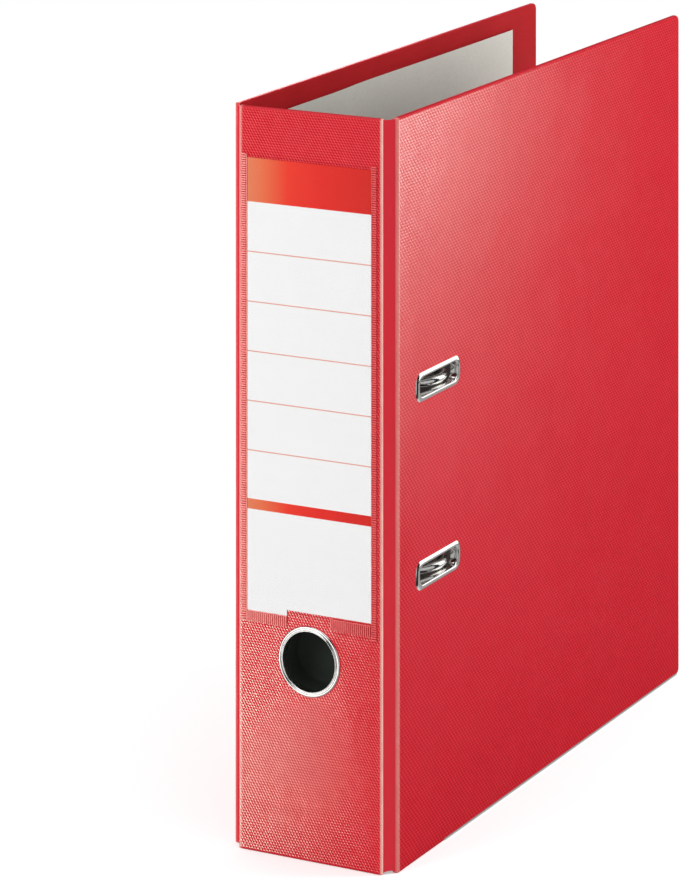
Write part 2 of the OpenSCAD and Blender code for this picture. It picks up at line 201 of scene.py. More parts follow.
def rings(name, loops, mats=(), smooth=40, cap=True, closed=True, wrap=False, raw=False):
    """Loops of equal length skinned together, capped at both ends."""
    n = len(loops[0]); vs = [p for l in loops for p in l]; fs = []
    m = len(loops)
    for k in range(m if wrap else m - 1):
        k2 = (k + 1) % m
        for i in range(n if closed else n - 1):
            j = (i + 1) % n
            fs.append((k * n + i, k * n + j, k2 * n + j, k2 * n + i))
    if cap and not wrap:
        fs.append(tuple(range(n - 1, -1, -1)))
        fs.append(tuple((m - 1) * n + i for i in range(n)))
    return obj_from(name, vs, fs, mats, smooth=smooth, raw=raw)

def lathe(name, prof, to, seg=96, mats=(), smooth=35, closed=True):
    """prof of (r, h); to(x, y, h) -> place. Points with r = 0 close an end."""
    loops = []
    for r, h in prof:
        loops.append([to(r * math.cos(2 * pi * i / seg), r * math.sin(2 * pi * i / seg), h) for i in range(seg)])
    return rings(name, loops, mats, smooth, cap=False, wrap=closed)

def arc(c, r, a0, a1, n):
    return [(c[0] + r * math.cos(math.radians(a0 + (a1 - a0) * i / n)), c[1] + r * math.sin(math.radians(a0 + (a1 - a0) * i / n))) for i in range(n + 1)]

def tube(name, path, radii, seg=20, mats=(), raw=False):
    pts = [W(*p) * 1000 for p in path]
    n = len(pts); loops = []
    t0 = (pts[1] - pts[0]).normalized()
    ref = Vector((0, 0, 1)) if abs(t0.z) < 0.9 else Vector((0, 1, 0))
    nrm = (ref - t0 * ref.dot(t0)).normalized()
    for i in range(n):
        if i == 0: t = (pts[1] - pts[0]).normalized()
        elif i == n - 1: t = (pts[-1] - pts[-2]).normalized()
        else: t = ((pts[i + 1] - pts[i]).normalized() + (pts[i] - pts[i - 1]).normalized()).normalized()
        nrm = (nrm - t * nrm.dot(t)).normalized()
        bn = t.cross(nrm)
        r = radii if not isinstance(radii, (list, tuple)) else radii[i]
        loops.append([(pts[i] + (nrm * math.cos(2 * pi * k / seg) + bn * math.sin(2 * pi * k / seg)) * r) / 1000 for k in range(seg)])
    return rings(name, loops, mats, 50, raw=True)

def sweep(name, path, normals, prof, mats=(), smooth=40, closed=True):
    """path of (a, b) points with outward normals; prof of (s, p): s outward, p up. Returned as loops of (a, b, p)."""
    return [[(a + na * s, b + nb * s, p) for s, p in prof] for (a, b), (na, nb) in zip(path, normals)]

# ------------------------------------------------------------------ materials
def mat(name):
    m = bpy.data.materials.new(name)
    m.use_nodes = True
    nt = m.node_tree
    nt.nodes.clear()
    return m, nt

class G:
    """Short-hand for building node graphs."""
    def __init__(self, nt): self.nt = nt
    def n(self, kind, **kw):
        x = self.nt.nodes.new(kind)
        for k, v in kw.items(): setattr(x, k, v)
        return x
    def link(self, a, b): self.nt.links.new(a, b)
    def val(self, sock, v):
        if isinstance(v, (int, float)): sock.default_value = v
        elif isinstance(v, (tuple, list)): sock.default_value = v
        else: self.link(v, sock)
    def math(self, op, a, b=0.0, c=0.0, clamp=False):
        x = self.n("ShaderNodeMath", operation=op, use_clamp=clamp)
        self.val(x.inputs[0], a); self.val(x.inputs[1], b)
        if op in ("MULTIPLY_ADD", "SMOOTH_MIN", "SMOOTH_MAX", "COMPARE"): self.val(x.inputs[2], c)
        return x.outputs[0]
    def mix(self, f, a, b):
        x = self.n("ShaderNodeMix", data_type="RGBA")
        self.val(x.inputs[0], f); self.val(x.inputs[6], a); self.val(x.inputs[7], b)
        return x.outputs[2]
    def mapr(self, v, a, b, c=0.0, d=1.0, smooth=False):
        x = self.n("ShaderNodeMapRange")
        if smooth: x.interpolation_type = "SMOOTHSTEP"
        self.val(x.inputs[0], v); self.val(x.inputs[1], a); self.val(x.inputs[2], b); self.val(x.inputs[3], c); self.val(x.inputs[4], d)
        return x.outputs[0]
    def rest(self):
        at = self.n("ShaderNodeAttribute", attribute_name="rest")
        sp = self.n("ShaderNodeSeparateXYZ"); self.link(at.outputs["Vector"], sp.inputs[0])
        return at.outputs["Vector"], sp.outputs[0], sp.outputs[1], sp.outputs[2]
    def noise(self, vec, scale, detail=3.0, rough=0.5, dist=0.0, stretch=None):
        if stretch:
            mp = self.n("ShaderNodeMapping"); mp.inputs["Scale"].default_value = stretch
            self.link(vec, mp.inputs[0]); vec = mp.outputs[0]
        x = self.n("ShaderNodeTexNoise")
        self.link(vec, x.inputs["Vector"])
        x.inputs["Scale"].default_value = scale; x.inputs["Detail"].default_value = detail
        x.inputs["Roughness"].default_value = rough; x.inputs["Distortion"].default_value = dist
        return x.outputs[0]
    def ramp(self, f, stops, interp="LINEAR"):
        x = self.n("ShaderNodeValToRGB"); cr = x.color_ramp; cr.interpolation = interp
        while len(cr.elements) > 1: cr.elements.remove(cr.elements[-1])
        cr.elements[0].position = stops[0][0]; cr.elements[0].color = (*stops[0][1], 1)
        for p, c in stops[1:]:
            e = cr.elements.new(p); e.color = (*c, 1)
        self.link(f, x.inputs[0])
        return x.outputs[0]
    def bump(self, h, dist, strength=1.0, normal=None):
        x = self.n("ShaderNodeBump")
        self.val(x.inputs["Height"], h); x.inputs["Distance"].default_value = dist
        self.val(x.inputs["Strength"], strength)
        if normal is not None: self.link(normal, x.inputs["Normal"])
        return x.outputs[0]
    def painted_shade(self, col, amount, reach=0.22):
        """Painted shade: colour darkened where the other parts close it in, by ambient occlusion."""
        ao = self.n("ShaderNodeAmbientOcclusion"); ao.samples = 6; ao.inputs["Distance"].default_value = reach
        k = self.mapr(ao.outputs["AO"], 0.12, 0.62, 1.0 - amount, 1.0)
        x = self.n("ShaderNodeHueSaturation"); self.link(col, x.inputs["Color"]); self.link(k, x.inputs["Value"])
        return x.outputs[0]
    def out(self, shader):
        o = self.n("ShaderNodeOutputMaterial"); self.link(shader, o.inputs[0])
    def bsdf(self, color, rough, metal=0.0, normal=None, **kw):
        x = self.n("ShaderNodeBsdfPrincipled")
        self.val(x.inputs["Base Color"], color if not isinstance(color, tuple) or len(color) == 4 else (*color, 1))
        self.val(x.inputs["Roughness"], rough); self.val(x.inputs["Metallic"], metal)
        if normal is not None: self.link(normal, x.inputs["Normal"])
        for k, v in kw.items(): self.val(x.inputs[k.replace("_", " ")], v)
        return x.outputs[0]

def srgb(r, g, b):
    f = lambda c: (c / 255 / 12.92) if c / 255 <= 0.04045 else ((c / 255 + 0.055) / 1.055) ** 2.4
    return (f(r), f(g), f(b))

BOW = 0.0006     # the spine board bows outwards a little
def foil_material(name, base, dark, axis, face, edges, rough=0.30, emboss=1.0, pitch=1.42, row=1.14, spec=0.5):
    """Embossed polypropylene foil. axis: which rest coordinate runs across the panel (0 = u, 1 = v).
    face: (coordinate index, value, sign): embossed only near that face, smooth round the edges.
    edges: (place, outward sign, strength) of the folds, painted pale: partly the stretched foil gone pale, partly a
    painted highlight on the rounded edge."""
    m, nt = mat(name); g = G(nt)
    vec, u, v, z = g.rest()
    a = u if axis == 0 else v
    # canvas: rows of small bumps, every other row shifted by half a pitch, a little uneven
    wob = g.math("MULTIPLY", g.math("SUBTRACT", g.noise(vec, 0.06, 2.0), 0.5), 5.0)
    wob2 = g.math("MULTIPLY", g.math("SUBTRACT", g.noise(vec, 0.09, 2.0), 0.5), 3.0)
    sa = g.math("SINE", g.math("ADD", g.math("ADD", g.math("MULTIPLY", a, 2 * pi / pitch), g.math("MULTIPLY", z, pi / row)), wob))
    sz = g.math("SINE", g.math("ADD", g.math("MULTIPLY", z, 2 * pi / row), wob2))
    grain = g.noise(vec, 0.22, 3.0, 0.6)
    h = g.math("ADD", g.math("ADD", g.math("MULTIPLY", sa, 0.55), g.math("MULTIPLY", sz, 0.42)), g.math("MULTIPLY", g.math("SUBTRACT", grain, 0.5), 0.6))
    fi, fv, fs = face
    coord = (u, v, z)[fi]
    on = g.mapr(g.math("MULTIPLY", g.math("SUBTRACT", coord, fv), fs), -0.22, -0.04, 0.0, 1.0, True)
    strength = g.math("MULTIPLY", on, emboss)
    wave = g.noise(vec, 0.018, 2.0, 0.5)
    dent = g.noise(vec, 0.09, 2.0, 0.5)
    n1 = g.bump(wave, 0.0008, 0.55)
    if axis == 0:
        x = g.math("DIVIDE", g.math("SUBTRACT", u, WID / 2), WID / 2 - 5)
        n1 = g.bump(g.math("MULTIPLY", g.math("MULTIPLY", x, x), -1.0), BOW, 1.0, n1)
    n2 = g.bump(dent, 0.00008, 0.6, n1)
    n3 = g.bump(h, EMBOSS, strength, n2)
    blotch = g.noise(vec, 0.06, 4.0, 0.6)
    col = g.mix(g.mapr(blotch, 0.3, 0.75, 0, 1), (*base, 1), (*dark, 1))
    ribs = g.mapr(h, -0.8, 0.8, 1.0 - 0.30 * emboss, 1.0 + 0.27 * emboss)
    hsv = g.n("ShaderNodeHueSaturation"); g.link(col, hsv.inputs["Color"]); g.link(g.math("ADD", g.math("MULTIPLY", g.math("SUBTRACT", ribs, 1.0), on), 1.0), hsv.inputs["Value"])
    c2 = hsv.outputs[0]
    # pale hinge lines: partly fold whitening, partly a painted highlight on the rounded edge
    for place, sgn, amount, wide in edges:
        d = g.math("MULTIPLY", g.math("SUBTRACT", a, place), sgn)
        nz_ = g.mapr(g.noise(vec, 0.5, 3.0, 0.6, stretch=(1, 1, 0.3)), 0.3, 0.7, 0.75, 1.0)
        f = g.math("MULTIPLY", g.math("MULTIPLY", g.mapr(d, -wide, -wide * 0.1, 0.0, 1.0, True), g.mapr(d, 0.35, 0.75, 1.0, 0.0, True)), g.math("MULTIPLY", nz_, amount))
        c2 = g.mix(f, c2, (*FOLD_PALE_AND_HIGHLIGHT, 1))
    rgh = g.math("ADD", g.mapr(g.noise(vec, 0.07, 1.0, 0.4), 0.3, 0.7, rough - 0.012, rough + 0.02, True), g.math("MULTIPLY", on, 0.01))
    # the sharpest convex edges are painted slightly paler
    geo = g.n("ShaderNodeNewGeometry")
    edge = g.mapr(geo.outputs["Pointiness"], 0.52, 0.60, 0.0, 0.30)
    c2 = g.mix(edge, c2, (min(1, base[0] * 1.15), base[1] * 2.2 + 0.01, base[2] * 2.0 + 0.01, 1))
    # only the crowns of the canvas shine
    crown = g.mapr(h, -0.35, 0.70, 0.90 - 0.82 * emboss, 0.90 + 1.1 * emboss, True)
    lev = g.math("MULTIPLY", g.math("ADD", g.math("MULTIPLY", g.math("SUBTRACT", crown, 0.85), on), 0.85), spec)
    g.out(g.bsdf(c2, rgh, 0.0, n3, Specular_IOR_Level=lev))
    return m
# near-white of the hinge lines: fold whitening and a painted edge highlight
FOLD_PALE_AND_HIGHLIGHT = srgb(255, 214, 200)
EMBOSS = 0.000060

RED = (0.605, 0.0140, 0.0275); RED_D = (0.580, 0.0130, 0.0255)
SP_RED = (0.595, 0.0150, 0.0270); SP_RED_D = (0.575, 0.0140, 0.0255)
IN_RED = srgb(200, 30, 37); IN_RED_D = srgb(192, 27, 34)
# hinge-line strengths carry the painted highlight: the spine's right line is painted brighter than its left
m_front = foil_material("foil_front", RED, RED_D, 1, (0, WID, 1), [(COV + 0.55, -1, 0.34, 1.5)], emboss=0.62, pitch=2.3, row=1.28)
m_back = foil_material("foil_back", RED, RED_D, 1, (0, 0.0, -1), [(COV + 0.55, -1, 0.34, 1.5)], emboss=0.62, pitch=2.3, row=1.28)
m_spine = foil_material("foil_spine", SP_RED, SP_RED_D, 0, (1, 0.0, -1), [(SX1 + 0.1, 1, 0.95, 1.25), (SX0 + 0.6, -1, 0.40, 1.7)], rough=0.292)

def smooth_foil(name, base, dark, rough=0.33, bump=0.6, painted_shade=0.0):
    m, nt = mat(name); g = G(nt)
    vec, u, v, z = g.rest()
    streak = g.noise(vec, 0.5, 3.0, 0.6, stretch=(1, 1, 0.12) if not painted_shade else (1, 0.12, 1))
    orange = g.noise(vec, 2.4, 2.0, 0.5)
    n1 = g.bump(streak, 0.0003, 0.25 * bump)
    n2 = g.bump(orange, 0.00003, 0.6 * bump, n1)
    col = g.mix(g.mapr(g.noise(vec, 0.05, 3.0), 0.3, 0.7), (*base, 1), (*dark, 1))
    rgh = g.mapr(streak, 0.3, 0.7, rough - 0.04, rough + 0.06)
    # painted shade: the lining darkens where the case closes round it
    if painted_shade: col = g.painted_shade(col, painted_shade)
    g.out(g.bsdf(col, rgh, 0.0, n2, Specular_IOR_Level=0.5, Coat_Weight=0.15, Coat_Roughness=0.2))
    return m
m_gutter = smooth_foil("foil_gutter", (0.74, 0.0090, 0.0280), (0.71, 0.0085, 0.0260), rough=0.40)
# the inner lining gets painted shade inside the closed case
m_inner = smooth_foil("foil_inner", IN_RED, IN_RED_D, rough=0.45, bump=1.0, painted_shade=0.9)

def metal(name, base, rough=0.14, scratch=1.0, brushed=0.0):
    m, nt = mat(name); g = G(nt)
    vec, u, v, z = g.rest()
    micro = g.noise(vec, 5.0, 4.0, 0.7)
    cloud = g.noise(vec, 0.4, 3.0, 0.5)
    lines = g.noise(vec, 2.2, 4.0, 0.7, stretch=(6, 0.35, 0.35) if brushed else (4, 4, 0.25))
    h = g.math("ADD", g.math("MULTIPLY", micro, 0.5), g.math("MULTIPLY", lines, 0.5 + brushed))
    nb = g.bump(h, 0.0000012, 0.5 * scratch)
    n2 = g.bump(cloud, 0.00003, 0.35, nb)
    rgh = g.math("ADD", g.mapr(micro, 0.3, 0.8, rough - 0.01, rough + 0.02), g.mapr(cloud, 0.4, 0.7, 0.0, 0.04))
    col = g.mix(g.mapr(cloud, 0.35, 0.7), (*base, 1), (base[0] * 0.9, base[1] * 0.89, base[2] * 0.87, 1))
    g.out(g.bsdf(col, rgh, 1.0, n2))
    return m
m_nickel = metal("nickel_bright", (0.93, 0.925, 0.91), 0.09)
m_nickel2 = metal("nickel_satin", (0.78, 0.775, 0.76), 0.22)
m_wire = metal("nickel_wire", (0.90, 0.895, 0.88), 0.12)
m_rail = metal("rail_steel", (0.86, 0.86, 0.85), 0.28, 1.0, 0.6)
m_plate = metal("plate_steel", (0.72, 0.72, 0.71), 0.24, 1.2, 0.3)
m_pin = metal("pin_steel", (0.66, 0.66, 0.66), 0.26)

def black_plastic():
    m, nt = mat("black_moulded"); g = G(nt)
    vec, u, v, z = g.rest()
    grain = g.noise(vec, 4.0, 3.0, 0.6)
    nb = g.bump(grain, 0.00004, 0.5)
    col = g.mix(g.mapr(grain, 0.3, 0.7), (0.021, 0.0265, 0.021, 1), (0.029, 0.035, 0.029, 1))
    g.out(g.bsdf(col, g.mapr(grain, 0.3, 0.7, 0.42, 0.55), 0.0, nb, Specular_IOR_Level=0.12))
    return m
m_black = black_plastic()

def greyboard():
    m, nt = mat("greyboard"); g = G(nt)
    vec, u, v, z = g.rest()
    fib = g.noise(vec, 1.6, 5.0, 0.7, stretch=(1, 0.3, 1)); speck = g.noise(vec, 6.0, 2.0)
    col = g.mix(g.mapr(fib, 0.3, 0.7), (0.30, 0.28, 0.25, 1), (0.40, 0.38, 0.34, 1))
    col = g.mix(g.mapr(speck, 0.66, 0.72), col, (0.18, 0.16, 0.14, 1))
    g.out(g.bsdf(col, 0.9, 0.0, g.bump(fib, 0.0001, 0.8)))
    return m
m_board = greyboard()

def paper():
    m, nt = mat("sheet_paper"); g = G(nt)
    vec, u, v, z = g.rest()
    fib = g.noise(vec, 2.5, 5.0, 0.7); cloud = g.noise(vec, 0.03, 3.0)
    col = g.mix(g.mapr(cloud, 0.3, 0.7), (0.80, 0.83, 0.75, 1), (0.77, 0.80, 0.72, 1))
    col = g.mix(g.mapr(fib, 0.45, 0.75, 0, 0.25), col, (0.70, 0.72, 0.64, 1))
    # painted shade: the sheet darkens where the case closes round it
    col = g.painted_shade(col, 0.95)
    g.out(g.bsdf(col, 0.72, 0.0, g.bump(fib, 0.00003, 0.6), Sheen_Weight=0.1))
    return m
m_paper = paper()

(l0, l1) = uvz("spine_label")
LU0, LU1, LZ0, LZ1 = l0[0], l1[0], l0[2], l1[2]
def label_card():
    m, nt = mat("label_card"); g = G(nt)
    vec, u, v, z = g.rest()
    t = g.mapr(u, LU0, LU1)
    grad = g.ramp(t, [(0.0, srgb(218, 124, 86)), (0.14, srgb(222, 104, 64)), (0.33, srgb(226, 50, 30)), (0.6, srgb(219, 34, 24)), (0.85, srgb(210, 30, 20)), (1.0, srgb(205, 30, 20))])
    fib = g.noise(vec, 2.8, 4.0, 0.6)
    white = g.mix(g.mapr(fib, 0.3, 0.7), (0.795, 0.795, 0.795, 1), (0.775, 0.775, 0.775, 1))
    col = white
    for zz, w in [(256.2, 0.24), (234.9, 0.24), (213.7, 0.24), (192.5, 0.24), (171.4, 0.24)]:
        d = g.math("ABSOLUTE", g.math("SUBTRACT", z, zz))
        col = g.mix(g.mapr(d, w - 0.06, w + 0.06, 0.8, 0.0), col, (*srgb(214, 120, 90), 1))
    for a, b in [(277.5, 400.0), (146.3, 150.7)]:
        inside = g.math("MULTIPLY", g.mapr(z, a - 0.05, a + 0.05), g.mapr(z, b - 0.05, b + 0.05, 1.0, 0.0))
        col = g.mix(inside, col, grad)
    g.out(g.bsdf(col, g.mapr(fib, 0.3, 0.7, 0.42, 0.5), 0.0, g.bump(fib, 0.00002, 0.4), Specular_IOR_Level=0.4))
    return m
m_label = label_card()

def clear_film():
    m, nt = mat("clear_film"); g = G(nt)
    vec, u, v, z = g.rest()
    wav = g.noise(vec, 0.05, 3.0, 0.5); fine = g.noise(vec, 1.2, 3.0, 0.6)
    nb = g.bump(fine, 0.00002, 0.5, g.bump(wav, 0.0015, 0.4))
    tr = g.n("ShaderNodeBsdfTransparent"); tr.inputs[0].default_value = (0.995, 0.995, 0.995, 1)
    gl = g.n("ShaderNodeBsdfGlossy"); gl.inputs["Roughness"].default_value = 0.16; g.link(nb, gl.inputs["Normal"])
    gl.inputs["Color"].default_value = (1, 1, 1, 1)
    fr = g.n("ShaderNodeFresnel"); fr.inputs[0].default_value = 1.42; g.link(nb, fr.inputs["Normal"])
    mx = g.n("ShaderNodeMixShader"); g.link(g.math("MULTIPLY", fr.outputs[0], 0.18), mx.inputs[0]); g.link(tr.outputs[0], mx.inputs[1]); g.link(gl.outputs[0], mx.inputs[2])
    g.out(mx.outputs[0])
    return m
m_film = clear_film()

def weld_film():
    """Clear film where it is welded to the red foil: pressed ribs, gone pale; the pale is partly a painted highlight
    on the ribs, painted paler towards the left side.
    """
    m, nt = mat("weld_film"); g = G(nt)
    vec, u, v, z = g.rest()
    fine = g.noise(vec, 2.0, 3.0, 0.6); part = g.noise(vec, 0.7, 3.0, 0.7)
    nb = g.bump(fine, 0.00004, 0.5)
    # painted sheen: the ribs are painted paler towards the label's left side
    left = g.mapr(u, LU0, LU1, 1.0, 0.0)
    pale = g.mix(left, (*srgb(236, 104, 104), 1), (*srgb(252, 168, 160), 1))
    col = g.mix(g.mapr(part, 0.35, 0.65, 0.0, 0.35), pale, (*srgb(214, 48, 58), 1))
    g.out(g.bsdf(col, 0.32, 0.0, nb, Specular_IOR_Level=0.5))
    return m
m_weld = weld_film()

# ------------------------------------------------------------------ covers and spine
EDGE = 1.05      # radius of the foil over the outer edges
EDGE_IN = 0.55   # radius on the inside

def edge_profile(t):
    """(inset, depth) from the inner face to the outer face of a wrapped panel."""
    pr = []
    for i in range(5):
        a = math.radians(90 * i / 4)
        pr.append((EDGE_IN * (1 - math.sin(a)), EDGE_IN * (1 - math.cos(a))))
    for i in range(9):
        a = math.radians(90 * i / 8)
        pr.append((EDGE * (1 - math.cos(a)), t - EDGE + EDGE * math.sin(a)))
    return pr

def cover_outline(inset, r=3.0, n=10):
    """(v, z) outline, square at the gutter and rounded at the fore-edge, counter-clockwise."""
    a0, a1, b0, b1 = COV + inset, DEP - inset, inset, HGT - inset
    rr = max(0.05, r - inset); rs = max(0.05, 0.6 - inset)
    out = []
    for cx, cy, ang, q in ((a1 - rr, b1 - rr, 0, rr), (a0 + rs, b1 - rs, 90, rs), (a0 + rs, b0 + rs, 180, rs), (a1 - rr, b0 + rr, 270, rr)):
        for i in range(n + 1):
            a = math.radians(ang + 90 * i / n)
            out.append((cx + q * math.cos(a), cy + q * math.sin(a)))
    return out

def spine_outline(inset, n=6):
    a0, a1, b0, b1 = SX0 + inset, SX1 - inset, inset, HGT - inset
    rs = max(0.05, 0.7 - inset); out = []
    for cx, cy, ang in ((a1 - rs, b1 - rs, 0), (a0 + rs, b1 - rs, 90), (a0 + rs, b0 + rs, 180), (a1 - rs, b0 + rs, 270)):
        for i in range(n + 1):
            a = math.radians(ang + 90 * i / n)
            out.append((cx + rs * math.cos(a), cy + rs * math.sin(a)))
    return out

def panel(name, outline, to, mats):
    loops = [[to(a, b, d) for a, b in outline(i)] for i, d in edge_profile(PT)]
    return rings(name, loops, mats, 28)

fu = lambda a, b, d: (WID - PT + d, a, b)       # front cover
bu = lambda a, b, d: (PT - d, a, b)             # back cover
su = lambda a, b, d: (a, PT - d, b)             # spine

def slot_cutters(u0, u1, grow=0.0):
    out = []
    for z in SLOT_Z:
        o = round_rect(SLOT_CL / 2 + grow, SLOT_CH / 2 + grow, 3.6)
        out.append(prism("c", [(a + SLOT_V, b + z) for a, b in o], lambda a, b, c: (c, a, b), u0, u1, smooth=0))
    return out
SLOT_CL, SLOT_CH = 35.6, 9.8
b_lo, b_hi = BRD
front_skin = panel("front_cover_skin", cover_outline, fu, [m_front])
cut(front_skin, box_obj("c", (WID - PT - 1, b_lo[1], b_lo[2]), (b_hi[0], b_hi[1] - 0.02, b_hi[2])),
    box_obj("c", (WID - PT - 1, RAIL[0][1], -1), (WID + 1, DEP + 1, RAIL[1][2])), *slot_cutters(WID - PT - 2, WID + 2))
shade(front_skin, 28)

back_skin = panel("back_cover_skin", cover_outline, bu, [m_back])
bb_lo, bb_hi = uvz("back_board")
def rivet_places():
    lo, hi = uvz("base_rivets")
    r = 4.0
    return [(v, z) for v in (lo[1] + r, hi[1] - r) for z in (lo[2] + r, hi[2] - r)]
RIV = rivet_places()
def disc(v, z, r, u0, u1, n=40):
    return prism("c", [(v + r * math.cos(2 * pi * i / n), z + r * math.sin(2 * pi * i / n)) for i in range(n)], lambda a, b, c: (c, a, b), u0, u1, smooth=0)
cut(back_skin, box_obj("c", (bb_lo[0], bb_lo[1], bb_lo[2]), (PT + 1, bb_hi[1] - 0.02, bb_hi[2])),
    box_obj("c", (-1, RAIL[0][1], -1), (PT + 1, DEP + 1, RAIL[1][2])), *[disc(v, z, 2.45, -1, PT + 1) for v, z in RIV])
shade(back_skin, 28)

spine_skin = panel("spine_skin", spine_outline, su, [m_spine])
sb_lo, sb_hi = uvz("spine_board")
def ring_cutter(r, v0, v1, n=72):
    return prism("c", [(RING_U + r * math.cos(2 * pi * i / n), RING_Z + r * math.sin(2 * pi * i / n)) for i in range(n)], lambda a, b, c: (a, c, b), v0, v1, smooth=0)
cut(spine_skin, box_obj("c", sb_lo, (sb_hi[0], PT + 1, sb_hi[2])), ring_cutter(13.2, -1, PT + 1))
shade(spine_skin, 28)

# inner linings: thin foil with a softly pressed edge
def lining(name, outline, to, inset, mats):
    pr = [(inset + 0.10, PT * 0 + 0.30), (inset, 0.22), (inset, 0.03), (inset + 0.08, -0.02), (inset + 0.3, -0.04)]
    return rings(name, [[to(a, b, d) for a, b in outline(i)] for i, d in pr], mats, 35)
front_lining = lining("front_cover_lining", cover_outline, fu, 0.2, [m_inner])
cut(front_lining, box_obj("c", (WID - PT - 1, RAIL[0][1] - 0.2, -1), (WID + 1, DEP + 1, RAIL[1][2] + 0.02)), *slot_cutters(WID - PT - 2, WID + 2))
shade(front_lining, 28)
back_lining = lining("back_cover_lining", cover_outline, bu, 0.2, [m_inner])
cut(back_lining, box_obj("c", (-1, RAIL[0][1] - 0.2, -1), (PT + 1, DEP + 1, RAIL[1][2] + 0.02)), *[disc(v, z, 2.45, -1, PT + 1) for v, z in RIV])
shade(back_lining, 28)
spine_lining = lining("spine_lining", spine_outline, su, 0.2, [m_inner])
cut(spine_lining, ring_cutter(13.25, 1, PT + 1))
shade(spine_lining, 28)

# edge rails: folded strips, closed round the lower edge
def rail(name, side):
    (r0, r1) = RAIL
    t = PT; h = r1[2]
    prof = [(0, h), (0, 0.35)] + [(0.35 - 0.35 * math.cos(math.radians(a)), 0.35 - 0.35 * math.sin(math.radians(a))) for a in (22, 45, 68, 90)]
    right = [(t - x, y) for x, y in reversed(prof)]
    outer = prof + right
    inner = [(t - 0.27, h), (t - 0.27, 0.28), (0.27, 0.28), (0.27, h)]
    loop = outer + inner
    v0, v1 = r0[1], r1[1]
    stations = [v0, v0 + 0.15] + [v0 + (v1 - v0) * i / 24 for i in range(1, 24)] + [v1 - 0.15, v1]
    loops = []
    for i, v in enumerate(stations):
        k = 0.04 if i in (0, len(stations) - 1) else 0.0
        loops.append([((WID - t + x) if side > 0 else (t - x), v, max(0.0, y + (k if y < 0.3 else -k))) for x, y in loop])
    return rings(name, loops, [m_rail], 35)
front_rail = rail("front_edge_strip", 1)
back_rail = rail("back_edge_strip", -1)

# gutters: thin foil strip between two panels, bowed a little in the middle
def gutter(name, side):
    so, eo = Vector((SX1 - 0.25, 0.95)), Vector((WID - EDGE + 0.02, COV + 0.25))
    si, ei = Vector((SX1 - 0.25, 1.75)), Vector((WID - EDGE - 0.80, COV + 0.25))
    n = 20; loops = []
    mid = 0.18
    def pt(a, b, t, s):
        p = a.lerp(b, t); d = (b - a).normalized(); nrm = Vector((-d.y, d.x))
        return p + nrm * (mid * math.sin(pi * t)) * s
    zs = []
    z0, z1 = 1.0, HGT - 0.35
    nz = 40
    for iz in range(nz + 1):
        zs.append(z0 + (z1 - z0) * iz / nz)
    verts = []; faces = []
    def zend(t, z):
        # ends dip a little between the panels
        k = math.sin(pi * t) * 0.35
        if z == z0: return z + k
        if z == z1: return z - k
        return z
    for s, (a, b) in enumerate(((so, eo), (si, ei))):
        for t in range(n + 1):
            for z in zs:
                p = pt(a, b, t / n, 1)
                u = p.x if side > 0 else WID - p.x
                verts.append((u, p.y, zend(t / n, z)))
    m = nz + 1; L = (n + 1) * m
    for t in range(n):
        for k in range(nz):
            faces.append((t * m + k, (t + 1) * m + k, (t + 1) * m + k + 1, t * m + k + 1))
            faces.append((L + t * m + k, L + t * m + k + 1, L + (t + 1) * m + k + 1, L + (t + 1) * m + k))
        for k, f in ((0, 1), (nz, -1)):
            q = (t * m + k, L + t * m + k, L + (t + 1) * m + k, (t + 1) * m + k)
            faces.append(q)
    for t in (0, n):
        for k in range(nz):
            faces.append((t * m + k, t * m + k + 1, L + t * m + k + 1, L + t * m + k))
    return obj_from(name, verts, faces, [m_gutter], smooth=40)
front_gut = gutter("front_gutter_foil", 1)
back_gut = gutter("back_gutter_foil", -1)

# ------------------------------------------------------------------ slot frames
def frame_loop(f, z, n=9):
    """f = 0 at the opening, 1 at the outer edge"""
    hx = 17.0 + (SLOT_L / 2 - 17.0) * f; hy = 4.1 + (SLOT_H / 2 - 4.1) * f; r = 3.1 + 1.5 * f
    return [(a + SLOT_V, b + z) for a, b in round_rect(hx, hy, r, n)]
def eyelet(z):
    prof = []
    pr = [(0.0, -PT - 0.5), (0.0, -0.2), (0.03, 0.2), (0.1, 0.45), (0.2, 0.57), (0.34, 0.6), (0.5, 0.55), (0.7, 0.42), (0.88, 0.24), (1.0, 0.05), (1.0, -0.04),
          (0.35, -0.04), (0.245, -0.1), (0.245, -PT - 0.5)]
    loops = [[(WID + p * (LIP / 0.6 if p > 0 else 1), a, b) for a, b in frame_loop(f, z)] for f, p in pr]
    return rings("e", loops, [m_nickel], 45, cap=False, wrap=True)
eyelets = join("slot_frames", [eyelet(z) for z in SLOT_Z])
def eyelet_back(z):
    pr = [(0.25, 0.0), (0.25, -0.3), (0.35, -0.48), (0.6, -0.5), (0.85, -0.38), (0.93, -0.2), (0.93, 0.0)]
    loops = [[(WID - PT + p, a, b) for a, b in frame_loop(f, z)] for f, p in pr]
    return rings("e", loops, [m_nickel2], 45, cap=False, wrap=True)
eyelet_backs = join("slot_frame_backs", [eyelet_back(z) for z in SLOT_Z])

